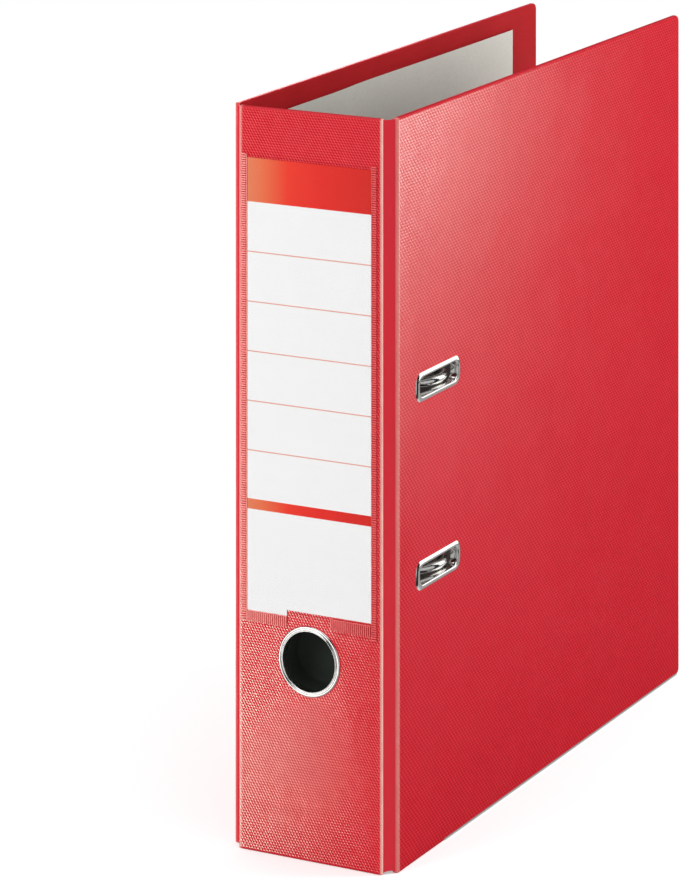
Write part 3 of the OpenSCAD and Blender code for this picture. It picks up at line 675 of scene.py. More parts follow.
# ------------------------------------------------------------------ thumb ring
RH = 12.7
ty = lambda x, y, h: (RING_U + x, -h, RING_Z + y)     # h outward from the spine face
prof = [(RING_R, 0.0), (RING_R, 0.2), (RING_R - 0.08, 0.38), (RING_R - 0.25, 0.55), (RING_R - 0.5, 0.66), (RING_R - 0.78, 0.68), (RING_R - 1.02, 0.6), (RING_R - 1.18, 0.42),
        (RING_R - 1.28, 0.22), (RING_R - 1.42, 0.16), (RING_R - 1.55, 0.24), (RING_R - 1.66, 0.46), (RING_R - 1.8, 0.66), (RING_R - 1.98, 0.77), (RH + 0.14, 0.74), (RH + 0.04, 0.62), (RH, 0.4), (RH, -0.5),
        (RH + 0.0, -PT - 0.4), (RH + 0.1, -PT - 0.6), (RH + 0.5, -PT - 0.6), (RH + 0.5, -0.02), (RH + 0.7, -0.0)]
prof = [(r, h * (RING_LIP / 0.8) if h > 0 else h) for r, h in prof]
ring_ob = lathe("thumb_ring_lip", prof, ty, 128, [m_nickel], 50)
ring_back = lathe("thumb_ring_clinch", [(RH + 0.5, -PT), (RH + 0.5, -PT - 0.55), (RH + 0.7, -PT - 0.6), (RING_R + 0.2, -PT - 0.6), (RING_R + 0.45, -PT - 0.45), (RING_R + 0.5, -PT - 0.25), (RING_R + 0.5, -PT)], ty, 96, [m_nickel2], 40)
CD = tc1[1]
cy0 = tc0[1]
# near-black cup behind the thumb ring, closing the hole; the dark seen in the hole is this cup's colour
cupp = [(RH, -cy0), (RH, -cy0 - 1.5), (RH - 0.05, -CD + 3.2), (RH - 0.35, -CD + 2.2), (RH - 1.0, -CD + 1.4), (RH - 2.2, -CD + 1.0), (RH - 5, -CD + 0.85), (3, -CD + 0.8), (0, -CD + 0.8)]
cupo = [(0, -CD), (5, -CD), (RH - 2, -CD + 0.05), (RH - 0.6, -CD + 0.4), (RH + 0.4, -CD + 1.2), (RH + 0.85, -CD + 2.4), (RH + 0.9, -cy0 - 1.4), (RH + 1.2, -cy0 - 0.95), (RING_R + 0.3, -cy0 - 0.8), (RING_R + 0.5, -cy0 - 0.6), (RING_R + 0.5, -cy0)]
cup = lathe("thumb_cup_moulding", cupp + cupo, ty, 96, [m_black], 40)

# ------------------------------------------------------------------ label and pocket
def label_card_mesh():
    # stepped outline: a lower tab at the left; fine bevel at the card's edge
    tab = l0[0] + 19.5
    z_step = LZ0 + 2.5
    def outl(i):
        return [(LU0 + i, LZ0 + i), (tab - i, LZ0 + i), (tab - i, z_step + i), (LU1 - i, z_step + i), (LU1 - i, LZ1 - i), (LU0 + i, LZ1 - i)]
    pr = [(0.04, 0.0), (0.0, 0.05), (0.0, 0.2), (0.04, 0.25)]
    v1 = l1[1]
    return rings("spine_label_card", [[(a, v1 - d, b) for a, b in outl(i)] for i, d in pr], [m_label], 30)
label_ob = label_card_mesh()

(pk0, pk1) = uvz("label_pocket")
PU0, PU1, PZ0, PZ1 = pk0[0], pk1[0], pk0[2], pk1[2]
def pocket():
    v_out, v_in = pk0[1], pk0[1] + 0.13
    third = (LU1 - LU0) / 3
    n0, n1, nh = LU0 + third, LU0 + 2 * third, 103.5
    ol = [(PU0, PZ0), (n0 - 3, PZ0)] + [(n0 - 3 + 3 * math.sin(math.radians(a)), PZ0 + 3 - 3 * math.cos(math.radians(a))) for a in (30, 60, 90)] \
        + [(n0, nh - 2)] + [(n0 + 2 - 2 * math.cos(math.radians(a)), nh - 2 + 2 * math.sin(math.radians(a))) for a in (45, 90)] \
        + [(n1 - 2, nh)] + [(n1 - 2 + 2 * math.sin(math.radians(a)), nh - 2 + 2 * math.cos(math.radians(a))) for a in (45, 90)] \
        + [(n1, PZ0 + 3)] + [(n1 + 3 - 3 * math.cos(math.radians(a)), PZ0 + 3 - 3 * math.sin(math.radians(a))) for a in (30, 60, 90)] \
        + [(PU1, PZ0), (PU1, PZ1), (PU0, PZ1)]
    film = prism("f", ol, lambda a, b, c: (a, c, b), v_out, v_in, [m_film], smooth=0)
    obs = [film]
    # weld seams: a ladder of pressed ribs down each side, and along the lower edge
    vs, fs = [], []
    def bar(u0, u1, z0, z1, va, vb, ch=0.12):
        b = len(vs)
        for (x0, x1, y0, y1, v) in ((u0, u1, z0, z1, vb), (u0, u1, z0, z1, va + ch * 0.6), (u0 + ch, u1 - ch, z0 + ch, z1 - ch, va)):
            vs.extend([(x0, v, y0), (x1, v, y0), (x1, v, y1), (x0, v, y1)])
        for k in (0, 4):
            for i in range(4):
                j = (i + 1) % 4
                fs.append((b + k + i, b + k + j, b + k + 4 + j, b + k + 4 + i))
        fs.append((b + 8, b + 9, b + 10, b + 11)); fs.append((b + 3, b + 2, b + 1, b))
    top = PZ1 - 0.3
    pitch = 0.98
    for (a0, a1) in ((PU0 + 0.25, LU0 - 0.30), (LU1 + 0.30, PU1 - 0.25)):
        z = PZ0 + 0.4
        while z < top:
            bar(a0 + 0.1, a1 - 0.45, z, z + 0.46, pk0[1] - 0.10, -0.02)
            z += pitch
        bar(a1 - 0.20 if a1 < LU0 else a0 - 0.1, a1 + 0.1 if a1 < LU0 else a0 + 0.08, PZ0 + 0.2, top, pk0[1] - 0.05, -0.02, 0.06)
    for (a0, a1, up) in ((LU0 + 0.2, n0 - 0.6, 4.6), (n1 + 0.6, LU1 - 0.2, 6.2)):
        x = a0
        while x < a1 - 0.5:
            bar(x, x + 0.46, PZ0 + up - 4.4, PZ0 + up, pk0[1] - 0.10, -0.02)
            x += pitch
        bar(a0, a1, PZ0 + up + 0.1, PZ0 + up + 0.4, pk0[1] - 0.06, -0.02, 0.1)
    ladder = obj_from("w", vs, fs, [m_weld], smooth=0)
    obs.append(ladder)
    return join("label_pocket_film", obs)
pocket_ob = pocket()

# ------------------------------------------------------------------ the sheet on the posts
(s0, s1) = uvz("info_sheet")
def sheet():
    nv, nz = 70, 60
    v0, v1, z0, z1 = s0[1], s1[1], s0[2], s1[2]
    verts, faces = [], []
    def height(v, z):
        t = min(1, max(0, (v - 76) / 46)); t = t * t * (3 - 2 * t)
        base = s0[0] + 0.02 + (PT + 0.45 - s0[0]) * t
        wav = 0.28 * t * math.sin((v - 80) / 31.0 + 0.6) * math.cos((z - 40) / 70.0) + 0.22 * t * (1 - math.cos((z - 160) / 58.0))
        return base + abs(wav)
    for layer in (0, 1):
        for i in range(nv + 1):
            for j in range(nz + 1):
                v = v0 + (v1 - v0) * i / nv; z = z0 + (z1 - z0) * j / nz
                verts.append((height(v, z) + 0.11 * layer, v, z))
    m = nz + 1; L = (nv + 1) * m
    for i in range(nv):
        for j in range(nz):
            faces.append((i * m + j, i * m + j + 1, (i + 1) * m + j + 1, (i + 1) * m + j))
            faces.append((L + i * m + j, L + (i + 1) * m + j, L + (i + 1) * m + j + 1, L + i * m + j + 1))
    for i in range(nv):
        for j in (0, nz):
            faces.append((i * m + j, (i + 1) * m + j, L + (i + 1) * m + j, L + i * m + j))
    for j in range(nz):
        for i in (0, nv):
            faces.append((i * m + j, L + i * m + j, L + i * m + j + 1, i * m + j + 1))
    ob = obj_from("a4_sheet", verts, faces, [m_paper], smooth=50)
    cut(ob, box_obj("c", (0, s0[1] - 2, MZ - 18), (12, s0[1] + 14, MZ + 18)), *[disc(POST_V, z, 2.95, 0, 12) for z in POST_Z])
    shade(ob, 40)
    return ob
sheet_ob = sheet()

# ------------------------------------------------------------------ mechanism
(w0, w1) = uvz("arch_wire")
WR = 2.0
AY = 34.0; AX = w0[0] + WR
POST_TOP = px1
TOP_R = (POST_V - AY) / 2
TOP_C = (w1[0] - WR - TOP_R, POST_V - TOP_R)          # (u, v)
def half_path():
    """From the tip over the arch and down to the crank's middle, as (u, v, z from the middle)."""
    p = []; h = PITCH / 2
    p += [(POST_TOP + 0.25, POST_V, h), (POST_TOP + 0.5, POST_V, h), (POST_TOP + 0.9, POST_V, h), (POST_TOP + 1.35, POST_V, h), (POST_TOP + 5, POST_V, h), (POST_TOP + 9, POST_V, h)]
    p += [(TOP_C[0] + TOP_R * math.sin(math.radians(a)), TOP_C[1] + TOP_R * math.cos(math.radians(a)), h) for a in range(0, 181, 5)]
    p += [(AX + 4 + (TOP_C[0] - AX - 4) * k / 6, AY, h) for k in (5, 4, 3, 2, 1)]
    p += [(AX + 4 - 4 * math.sin(math.radians(a)), AY, h - 4 + 4 * math.cos(math.radians(a))) for a in range(0, 91, 9)]
    p += [(AX, AY, 16 + (h - 4 - 16) * k / 5) for k in (4, 3, 2, 1)]
    p += [(AX, AY + 3 - 3 * math.cos(math.radians(a)), 16 - 3 * math.sin(math.radians(a))) for a in range(0, 91, 10)]
    p += [(AX, AY + 5 + 3 * math.sin(math.radians(a)), 10 + 3 * math.cos(math.radians(a))) for a in range(0, 91, 10)]
    p += [(AX, AY + 8, 6), (AX, AY + 8, 3)]
    return p
hp = half_path()
full = [(u, v, MZ + z) for u, v, z in hp] + [(AX, AY + 8, MZ)] + [(u, v, MZ - z) for u, v, z in reversed(hp)]
nh = len(hp)
rad = [1.25, 1.6, 1.86, WR] + [WR] * (len(full) - 8) + [WR, 1.86, 1.6, 1.25]
wire_ob = tube("arch_wire_bent", full, rad, 24, [m_wire])

def post(z):
    to = lambda x, y, h: (h, POST_V + x, z + y)
    top = POST_TOP
    pr = [(0, 3.0), (3.9, 3.0), (3.9, 3.5), (2.4, 3.55), (2.4, 4.45), (2.75, 4.5), (2.95, 4.66), (2.9, 4.74), (2.4, 4.76), (2.4, 20), (2.4, top - 1.6), (2.34, top - 0.8), (2.2, top - 0.25), (2.02, top), (1.66, top), (1.52, top - 0.2), (1.5, top - 5.8), (0, top - 5.8)]
    return lathe("p", pr, to, 40, [m_wire], 40)
posts_ob = join("filing_post_tubes", [post(z) for z in POST_Z])

def rivet(v, z):
    to = lambda x, y, h: (h, v + x, z + y)
    pr = [(1.6, 4.6), (1.6, -0.42), (1.75, -0.56), (2.1, -LIP), (2.7, -LIP + 0.02), (3.3, -0.47), (3.75, -0.3), (3.98, -0.12), (4.0, 0.0), (2.4, 0.0), (2.4, 4.38), (3.1, 4.4), (3.38, 4.45), (3.3, 4.55), (2.8, 4.62), (2.0, 4.64)]
    return lathe("r", pr, to, 40, [m_nickel2], 40)
rivets_ob = join("base_plate_rivets", [rivet(v, z) for v, z in RIV])

(bp0, bp1) = uvz("base_plate")
PLX = 4.4
def plate():
    cv, hv = 48.0, 24.0; hz = (bp1[2] - bp0[2]) / 2; r = 6.0
    nv, nz = 48, 128
    def warp(a, b):
        ca, cb = max(0, abs(a) - (hv - r)) / r, max(0, abs(b) - (hz - r)) / r
        if ca > 0 and cb > 0:
            x, y = ca * math.sqrt(1 - cb * cb / 2), cb * math.sqrt(1 - ca * ca / 2)
            return math.copysign(hv - r + x * r, a), math.copysign(hz - r + y * r, b)
        return a, b
    def sd(a, b):
        qx, qy = max(0, abs(a) - (hv - r)), max(0, abs(b) - (hz - r))
        m = math.hypot(qx, qy) - r
        return m if (abs(a) > hv - r or abs(b) > hz - r) else max(abs(a) - hv, abs(b) - hz)
    def bump(a, b):
        d = -sd(a, b)
        h = PLX - 0.9 * max(0, 1 - d / 0.9) ** 2
        # pressed border bead and two long ribs
        h += 0.28 * math.exp(-((d - 3.2) / 0.8) ** 2)
        for rv, l0_, l1_ in ((-18.5, 40, 68), (-18.5, -68, -40), (11.0, 14, 34), (11.0, -34, -14), (11.0, 46, 68), (11.0, -68, -46)):
            m = max(0, l0_ - b, b - l1_)
            h += 0.0 if m > 3 else 0.22 * math.exp(-((a - rv) / 1.3) ** 2) * max(0, 1 - (m / 3) ** 2)
        return min(h, PLX + 0.24)
    verts, faces = [], []
    for i in range(nv + 1):
        for j in range(nz + 1):
            a0 = -hv + 2 * hv * i / nv; b0 = -hz + 2 * hz * j / nz
            a, b = warp(a0, b0)
            verts.append((bump(a, b), cv + a, MZ + b))
    m = nz + 1
    for i in range(nv):
        for j in range(nz):
            faces.append((i * m + j, (i + 1) * m + j, (i + 1) * m + j + 1, i * m + j + 1))
    # skirt, then the underside
    edge = [i * m for i in range(nv + 1)] + [nv * m + j for j in range(1, nz + 1)] + [i * m + nz for i in range(nv - 1, -1, -1)] + [j for j in range(nz - 1, 0, -1)]
    n0 = len(verts)
    for k in edge:
        verts.append((PT + 0.02, verts[k][1], verts[k][2]))
    ne = len(edge)
    for i in range(ne):
        j = (i + 1) % ne
        faces.append((edge[i], n0 + i, n0 + j, edge[j]))
    faces.append(tuple(n0 + i for i in range(ne)))
    ob = obj_from("pl", verts, faces, [m_plate], smooth=35)
    obs = [ob]
    # wire bearings: straps looped over the wire
    for dz in (-25.5, 23.5, -20.5 - 0, 28.5):
        pass
    for zc in (-27 + 0.0, 22 + 0.0, -22 + 0.0, 27 + 0.0):
        path = [(PLX - 0.2, AY - 6.6), (PLX + 0.35, AY - 5.6), (PLX + 0.62, AY - 4.4)] + \
               [(AX + 2.75 * math.sin(math.radians(a)), AY - 2.75 * math.cos(math.radians(a))) for a in range(-10, 191, 12)] + \
               [(PLX + 0.62, AY + 4.4), (PLX + 0.35, AY + 5.6), (PLX - 0.2, AY + 6.6)]
        loops = []
        for i, (u, v) in enumerate(path):
            if i == 0: d = Vector((path[1][0] - u, path[1][1] - v))
            elif i == len(path) - 1: d = Vector((u - path[-2][0], v - path[-2][1]))
            else: d = Vector((path[i + 1][0] - path[i - 1][0], path[i + 1][1] - path[i - 1][1]))
            d.normalize(); nrm = Vector((d.y, -d.x))
            q = []
            hw, ht, c = 1.5, 0.62, 0.2
            for x, y in ((-hw + c, -ht), (hw - c, -ht), (hw, -ht + c), (hw, ht - c), (hw - c, ht), (-hw + c, ht), (-hw, ht - c), (-hw, -ht + c)):
                q.append((u + nrm.x * y, v + nrm.y * y, MZ + zc + x))
            loops.append(q)
        obs.append(rings("s", loops, [m_plate], 45))
    # lever ears
    LV, LU = 50.0, 12.0
    for s in (-1, 1):
        ol = [(PLX - 0.3, 46.2), (PLX - 0.3, 53.0)] + [(LU + 3.4 * math.sin(math.radians(a)), LV - 0.2 + 3.4 * math.cos(math.radians(a))) for a in range(0, 181, 12)]
        def to(a, b, c): return (a, b, MZ + s * 9.6 + c)
        cx = sum(p[0] for p in ol) / len(ol); cyv = sum(p[1] for p in ol) / len(ol)
        loops = []
        for i, d in ((0.18, -0.6), (0.0, -0.42), (0.0, 0.42), (0.18, 0.6)):
            loops.append([to(cx + (a - cx) * (1 - i / 6), cyv + (b - cyv) * (1 - i / 4), d) for a, b in ol])
        obs.append(rings("e", loops, [m_plate], 40))
    return join("base_plate_pressing", obs)
plate_ob = plate()

# lever: a pressed channel with a rolled thumb pad
LP = Vector((50.0, 12.0)); (ro0, ro1) = uvz("lever_roller")
RC = Vector(((ro0[1] + ro1[1]) / 2, (ro0[0] + ro1[0]) / 2))
LA, LB = Vector((46.5, 17.8)), Vector((10.5, 42.0))
LD = (LB - LA).normalized(); LN = Vector((LD.y, -LD.x)) if LD.y * 1 > 0 else Vector((-LD.y, LD.x))
if LN.y < 0: LN = -LN
def lv(t, o):
    p = LA + (LB - LA) * t + LN * (8 * t * (1 - t) + o)
    return p
def lever_mesh():
    obs = []
    T = 0.6
    stations = []
    for i in range(25):
        stations.append(lv(i / 24, 0))
    R = 4.0
    c = LB + LN * R
    for i in range(1, 13):
        a = math.radians(i * 8)
        stations.append(c + (-LN * math.cos(a) + LD * math.sin(a)) * R)
    n = len(stations); loops = []
    for i, p in enumerate(stations):
        q0 = stations[max(0, i - 1)]; q1 = stations[min(n - 1, i + 1)]
        d = (q1 - q0).normalized(); nn = Vector((-d.y, d.x))
        if nn.dot(LN) < 0 and i < 25: nn = -nn
        if i >= 25: nn = Vector((d.y, -d.x)) if Vector((d.y, -d.x)).dot(LN) > 0 or i > 30 else Vector((-d.y, d.x))
        if i >= 25:
            nn = (c - p).normalized()
        t = i / 24
        hw = 8.5 + (2.5 * min(1, max(0, (t - 0.62) / 0.2)) ** 2 * (3 - 2 * min(1, max(0, (t - 0.62) / 0.2))) if t > 0.62 else 0)
        if i > n - 5: hw -= (i - (n - 5)) ** 2 * 0.22
        depth = max(0.0, 5.5 - 3.6 * t) if t <= 0.94 else max(0.0, 2.1 - (t - 0.94) * 30)
        r = 1.2
        # across the section: crowned web, flanges turned down
        top, bot = [], []
        m = 8
        for k in range(m + 1):
            x = -hw + r + 2 * (hw - r) * k / m
            crown = 0.25 * (1 - (x / hw) ** 2)
            top.append((x, T + crown)); bot.append((x, -T + crown))
        lt = [(-hw, T - r - depth), (-hw, T - r), (-hw + r * 0.3, T - r * 0.3)]
        rt_ = [(hw - r * 0.3, T - r * 0.3), (hw, T - r), (hw, T - r - depth)]
        li = [(-hw + 1.2, T - r - depth), (-hw + 1.2, -T - 0.35), (-hw + 1.5, -T - 0.05)]
        ri = [(hw - 1.5, -T - 0.05), (hw - 1.2, -T - 0.35), (hw - 1.2, T - r - depth)]
        if depth < 0.9:
            lt = [(-hw, -T * 0.4), (-hw, T * 0.2), (-hw + r * 0.3, T * 0.8)]; rt_ = [(hw - r * 0.3, T * 0.8), (hw, T * 0.2), (hw, -T * 0.4)]
            li = [(-hw + 0.1, -T * 0.7), (-hw + 0.3, -T * 0.9), (-hw + 0.8, -T)]; ri = [(hw - 0.8, -T), (hw - 0.3, -T * 0.9), (hw - 0.1, -T * 0.7)]
        sec = lt + top + rt_ + list(reversed(ri)) + list(reversed(bot)) + list(reversed(li))
        loops.append([(p.y + nn.y * o, p.x + nn.x * o, MZ + x) for x, o in sec])
    obs.append(rings("w", loops, [m_nickel2], 50))
    poly = [(50, 8.4), (41.5, RC.y - 3.1), (38.4, 12.4), (37.6, 17), (39.2, 20.2), (40.8, 21.6), (46.6, 18.2), (50.6, 15.9), (53.2, 13.4), (53.6, 12), (53.2, 10.4), (52, 9)]
    # round the two bosses into the outline
    ol = [(LP.x + 3.6 * math.cos(math.radians(a)), LP.y + 3.6 * math.sin(math.radians(a))) for a in range(-90, 66, 13)]
    ol += [(46.8, 18.3), (43.8, 20.4), (40.6, 22.2), (38.9, 20.5), (37.9, 17.5)]
    ol += [(RC.x + 3.1 * math.cos(math.radians(a)), RC.y + 3.1 * math.sin(math.radians(a))) for a in range(165, 271, 15)]
    for s in (-1, 1):
        cx = sum(p[0] for p in ol) / len(ol); cyv = sum(p[1] for p in ol) / len(ol)
        loops = []
        for i, d in ((0.25, -0.6), (0.0, -0.4), (0.0, 0.4), (0.25, 0.6)):
            loops.append([(cyv + (b - cyv) * (1 - i / 7), cx + (a - cx) * (1 - i / 7), MZ + s * 7.9 + d) for a, b in ol])
        obs.append(rings("k", loops, [m_nickel2], 40))
    return join("lever_pressing", obs)
lever_ob = lever_mesh()

def pin(name, c, r, half, hr, hh, m):
    to = lambda x, y, h: (c[1] + x, c[0] + y, MZ + h)
    pr = [(0, -half - hh), (hr * 0.7, -half - hh), (hr, -half - hh * 0.6), (hr, -half), (r, -half), (r, half), (hr, half), (hr, half + hh * 0.6), (hr * 0.7, half + hh), (0, half + hh)]
    return lathe(name, pr, to, 32, [m], 35, closed=False)
lever_pin_ob = pin("lever_axle", (50.0, 12.0), 1.5, 10.2, 2.6, 1.0, m_pin)
roller_pin_ob = pin("roller_axle", (RC.x, RC.y), 1.2, 8.5, 2.0, 0.5, m_pin)
tor = lambda x, y, h: (RC.y + x, RC.x + y, MZ + h)
roller_ob = lathe("lever_roller_turned", [(1.27, -6.7), (1.5, -6.9), (3.7, -6.9), (4.0, -6.6), (4.0, 6.6), (3.7, 6.9), (1.5, 6.9), (1.27, 6.7)], tor, 48, [m_pin], 35)

(cb0, cb1) = uvz("compressor_bar")
def bar_mesh():
    cz = MZ; hv, hz = 4.75, (cb1[2] - cb0[2]) / 2; cvv = POST_V + 1.75
    x0 = cb0[0]
    loops = []
    for i, d in ((0.3, 0.0), (0.0, 0.25), (0.0, 0.95), (0.3, 1.2)):
        loops.append([(x0 + d, cvv + a, cz + b) for a, b in round_rect(hv - i, hz - i, 4.7 - i, 10)])
    ob = rings("b", loops, [m_plate], 35)
    # turned-up edge
    nseg = 30; lp = []
    for k in range(nseg + 1):
        z = cz - 46 + 92 * k / nseg
        e = 1.0 - max(0, (abs(z - cz) - 42) / 4) ** 2 * 0.8
        lp.append([(x0 + 0.1, cvv + 3.55, z), (x0 + 0.1, cvv + 4.75, z), (x0 + 1.2 + 1.05 * e, cvv + 4.75, z), (x0 + 1.2 + 1.2 * e, cvv + 4.55, z), (x0 + 1.2 + 1.2 * e, cvv + 3.75, z), (x0 + 1.2 + 1.05 * e, cvv + 3.55, z)])
    rim = rings("r", lp, [m_plate], 35)
    ob2 = join("compressor_pressing", [ob, rim])
    cut(ob2, *[disc(POST_V, z, 2.5, 0, 12, 48) for z in POST_Z])
    shade(ob2, 35)
    return ob2
comp_ob = bar_mesh()

# ------------------------------------------------------------------ ride, replace, finish the CAD nodes
def put(piece, body, nodes):
    rest_attr(piece)
    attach(piece, body)
    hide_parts(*nodes)
for ob_ in (front_skin, back_skin, spine_skin):
    bm_ = bmesh.new()
    bm_.from_mesh(ob_.data)
    bmesh.ops.dissolve_degenerate(bm_, dist=2e-6, edges=bm_.edges)
    bm_.to_mesh(ob_.data)
    bm_.free()

put(front_skin, "front_cover", ["front_outer_foil"])
put(back_skin, "back_cover", ["back_outer_foil"])
put(spine_skin, "spine", ["spine_outer_foil"])
put(front_lining, "front_cover", ["front_inner_foil"])
put(back_lining, "back_cover", ["back_inner_foil"])
put(spine_lining, "spine", ["spine_inner_foil"])
put(front_rail, "front_cover", ["front_edge_rail"])
put(back_rail, "back_cover", ["back_edge_rail"])
put(eyelets, "front_cover", ["slot_eyelets"])
put(eyelet_backs, "front_cover", ["slot_eyelet_backs"])
put(ring_ob, "spine", ["thumb_ring"])
put(ring_back, "spine", ["thumb_ring_back"])
put(cup, "spine", ["thumb_cup"])
put(label_ob, "label", ["spine_label"])
put(pocket_ob, "spine", ["label_pocket"])
put(sheet_ob, "back_cover", ["info_sheet"])
put(wire_ob, "arches", ["arch_wire"])
put(posts_ob, "back_cover", ["filing_posts"])
put(rivets_ob, "back_cover", ["base_rivets"])
put(plate_ob, "back_cover", ["base_plate"])
put(lever_ob, "lever", ["lever"])
put(lever_pin_ob, "back_cover", ["lever_pin"])
put(roller_pin_ob, "lever", ["roller_pin"])
put(roller_ob, "roller", ["lever_roller"])
put(comp_ob, "compressor", ["compressor_bar"])

def put_blend(piece, nodes):
    rest_attr(piece)
    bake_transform(piece)
    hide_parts(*nodes)
put_blend(front_gut, ["front_gutter"])
put_blend(back_gut, ["back_gutter"])

for n in ("back_board", "front_board", "spine_board"):
    o = NODE[n]
    for i in range(max(1, len(o.material_slots))):
        if o.material_slots: o.material_slots[i].material = m_board
    # the board's own texture space
# greyboard reads object space, which is the same for every cut edge
nt = m_board.node_tree
for x in list(nt.nodes):
    if x.bl_idname == "ShaderNodeAttribute":
        tc = nt.nodes.new("ShaderNodeTexCoord"); mp = nt.nodes.new("ShaderNodeMapping"); mp.inputs["Scale"].default_value = (1000, 1000, 1000)
        nt.links.new(tc.outputs["Object"], mp.inputs[0])
        for l in list(nt.links):
            if l.from_node == x: nt.links.new(mp.outputs[0], l.to_socket)

# ------------------------------------------------------------------ stage
def floor_mat():
    m, nt = mat("studio_floor"); g = G(nt)
    tc = g.n("ShaderNodeTexCoord")
    ns = g.noise(tc.outputs["Object"], 3.0, 3.0)
    col = g.mix(g.mapr(ns, 0.3, 0.7), (0.86, 0.86, 0.86, 1), (0.84, 0.84, 0.84, 1))
    d = g.bsdf(col, 0.8, 0.0, None, Specular_IOR_Level=0.1)
    lp = g.n("ShaderNodeLightPath")
    em = g.n("ShaderNodeEmission"); em.inputs[0].default_value = (1, 1, 1, 1)
    g.link(g.math("MULTIPLY", lp.outputs["Is Camera Ray"], FLOOR_LIFT), em.inputs[1])
    ad = g.n("ShaderNodeAddShader"); g.link(d, ad.inputs[0]); g.link(em.outputs[0], ad.inputs[1])
    g.out(ad.outputs[0])
    return m
FLOOR_LIFT = 0.38
fl = obj_from("floor", [(-9, -9, 0), (9, -9, 0), (9, 9, 0), (-9, 9, 0)], [(0, 1, 2, 3)], [floor_mat()], smooth=0, raw=True)
# the table isn't mirrored in the glossy foil, and the sheen lights may stand below its level
fl.visible_glossy = False
fl.visible_shadow = False

W_DIFF, W_GLOSS, W_TOP = 0.69, 0.012, 0.05
world = bpy.data.worlds.new("studio"); bpy.context.scene.world = world
world.use_nodes = True
wnt = world.node_tree; wnt.nodes.clear(); wg = G(wnt)
lp = wg.n("ShaderNodeLightPath")
tcw = wg.n("ShaderNodeTexCoord"); sw = wg.n("ShaderNodeSeparateXYZ"); wg.link(tcw.outputs["Generated"], sw.inputs[0])
up_ = wg.mapr(sw.outputs[2], 0.05, 0.75, W_GLOSS, W_TOP, True)
stg = wg.mix(lp.outputs["Is Glossy Ray"], (W_DIFF, W_DIFF, W_DIFF, 1), (0, 0, 0, 1))
cmb = wg.n("ShaderNodeCombineXYZ")
for i_ in range(3): wg.link(up_, cmb.inputs[i_])
stg = wg.mix(lp.outputs["Is Glossy Ray"], (W_DIFF, W_DIFF, W_DIFF, 1), cmb.outputs[0])
stg = wg.mix(lp.outputs["Is Camera Ray"], stg, (1.0, 1.0, 1.0, 1))
bgn = wg.n("ShaderNodeBackground"); wg.link(stg, bgn.inputs[0]); bgn.inputs[1].default_value = 1.0
wo = wg.n("ShaderNodeOutputWorld"); wg.link(bgn.outputs[0], wo.inputs[0])

bpy.context.scene.view_settings.view_transform = "Standard"
bpy.context.scene.view_settings.look = "None"

def area(name, loc, target, sx, sy, power, kind):
    """kind: "fill" lights the surfaces, "sheen" is only seen as a reflection."""
    d = bpy.data.lights.new(name, "AREA"); d.shape = "RECTANGLE"; d.size = sx; d.size_y = sy
    d.energy = power
    o = bpy.data.objects.new(name, d); bpy.context.scene.collection.objects.link(o)
    o.location = loc
    o.rotation_euler = (Vector(target) - Vector(loc)).to_track_quat("-Z", "Y").to_euler()
    o.visible_camera = False
    if kind == "fill": o.visible_glossy = False
    else: o.visible_diffuse = False
    return o
AT, CV, SP = (0, 0, 0.15), (0.04, 0.0, 0.16), (0, -0.144, 0.08)
area("fill_front", (-0.9, -1.7, 1.1), AT, 0.8, 0.8, 14.0, "fill")
area("fill_back", (0.9, 0.5, 1.0), (0, 0, 0.2), 0.5, 0.5, 9.2, "fill")
area("fill_left", (-0.8, -0.9, 0.2), (0, 0, 0.1), 0.5, 0.5, 3.4, "fill")
def receivers(name, *obs):
    c = bpy.data.collections.new(name)
    for o in obs: c.objects.link(o)
    return c
cover_set = receivers("seen_on_front", front_skin, front_gut)
spine_set = receivers("seen_on_spine", spine_skin)
back_set = receivers("seen_on_back", back_skin, back_gut)
TINT_C, TINT_S = (0.90, 1.0, 0.92), (0.42, 1.0, 0.82)
for n_, p_, t_, sx_, sy_, pw_, tint_ in (
        ("sheen_c1", (0.40, 0.42, 0.22), CV, 0.12, 0.12, 0.128, TINT_C), ("sheen_f1", (0.30, 0.20, 0.26), CV, 0.10, 0.12, 0.395, TINT_C),
        ("sheen_f4", (0.40, 0.30, 0.12), CV, 0.12, 0.12, 0.350, TINT_C), ("sheen_f6", (0.30, 0.30, 0.30), CV, 0.08, 0.08, 0.100, TINT_C),
        ("sheen_s8", (-0.75, -0.95, 0.1), (0, -0.144, 0.15), 0.25, 0.4, 0.60, TINT_S), ("sheen_t2", (-0.32, -0.52, -0.10), SP, 0.12, 0.10, 0.067, TINT_S),
        ("sheen_t6", (-0.28, -0.40, 0.00), (0, -0.144, 0.10), 0.08, 0.08, 0.240, TINT_S), ("sheen_u1", (-0.233, -0.38, -0.12), (0, -0.144, 0.06), 0.07, 0.06, 0.420, TINT_S),
        ("sheen_u4", (-0.273, -0.34, -0.08), (0, -0.144, 0.06), 0.07, 0.07, 0.520, TINT_S)):
    c_ = area(n_, p_, t_, sx_, sy_, pw_, "sheen")
    c_.data.color = tint_
    c_.light_linking.receiver_collection = cover_set if tint_ is TINT_C else spine_set
c_ = area("sheen_back", (-0.45, 0.55, 0.55), (-0.04, 0.0, 0.16), 0.25, 0.25, 0.8, "sheen")
c_.light_linking.receiver_collection = back_set
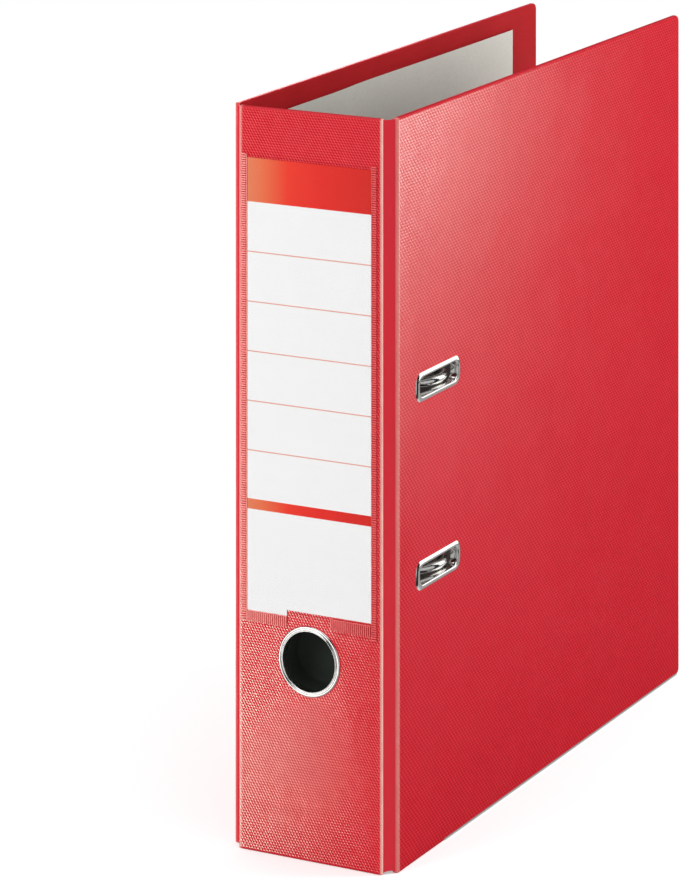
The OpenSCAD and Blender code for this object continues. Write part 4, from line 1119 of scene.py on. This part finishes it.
# reflector cards that only the bare metal sees
metal_set = bpy.data.collections.new("bare_metal")
for o in (eyelets, eyelet_backs, ring_ob, ring_back, front_rail, back_rail, wire_ob, posts_ob, rivets_ob, plate_ob, lever_ob, lever_pin_ob, roller_pin_ob, roller_ob, comp_ob):
    metal_set.objects.link(o)
for n_, p_, sx_, sy_, pw_ in (("card_rear", (1.0, 1.6, 0.95), 1.6, 2.5, 18.0), ("card_front", (-1.0, -1.7, 0.35), 1.7, 2.3, 18.0), ("card_top", (0.3, -0.2, 1.9), 1.8, 1.8, 16.0), ("card_right", (1.9, -0.3, 0.3), 1.7, 1.6, 4.2), ("card_eye", (1.0, -1.8, -0.25), 1.6, 1.8, 4.0), ("card_rear_low", (0.9, 1.6, -0.85), 1.8, 1.3, 2.6), ("card_front_low", (-0.9, -1.7, -1.0), 1.8, 1.2, 3.4), ("card_low", (0.2, -0.1, -1.3), 3.4, 3.4, 11.0)):
    c_ = area(n_, p_, (0.02, -0.1, 0.16), sx_, sy_, pw_, "sheen")
    c_.light_linking.receiver_collection = metal_set

# ------------------------------------------------------------------ camera
F_PX, CX, CY = 4070.64, 574.48, -688.52
CAM = Vector((0.86509, (-1497.97 + V0) / 1000, 0.65760))
cam_d = bpy.data.cameras.new("photo_camera"); cam = bpy.data.objects.new("photo_camera", cam_d)
bpy.context.scene.collection.objects.link(cam)
az = math.radians(-26.281)
cam.location = CAM
fwd = Vector((math.sin(az), math.cos(az), 0.0))
cam.rotation_mode = "QUATERNION"
cam.rotation_quaternion = fwd.to_track_quat("-Z", "Y")
cam_d.sensor_fit = "AUTO"; cam_d.sensor_width = 36.0
cam_d.lens = F_PX / 888 * 36
cam_d.clip_start, cam_d.clip_end = 0.05, 60
# view-camera shift: keeps the uprights parallel. It only holds at this camera's own place.
def shift(path, value):
    fc = cam_d.driver_add(path)
    d = fc.driver; d.type = "SUM"
    v = d.variables.new(); v.name = "x"; v.type = "TRANSFORMS"
    v.targets[0].id = cam; v.targets[0].transform_type = "LOC_X"; v.targets[0].transform_space = "WORLD_SPACE"
    for m in list(fc.modifiers): fc.modifiers.remove(m)
    x = CAM.x
    for px, py in ((x - 0.04, 0.0), (x - 0.02, value), (x + 0.02, value), (x + 0.04, 0.0)):
        k = fc.keyframe_points.insert(px, py); k.interpolation = "LINEAR"
    fc.extrapolation = "CONSTANT"
shift("shift_x", -(CX - 342.5) / 888)
shift("shift_y", (CY - 444) / 888)
bpy.context.scene.camera = cam
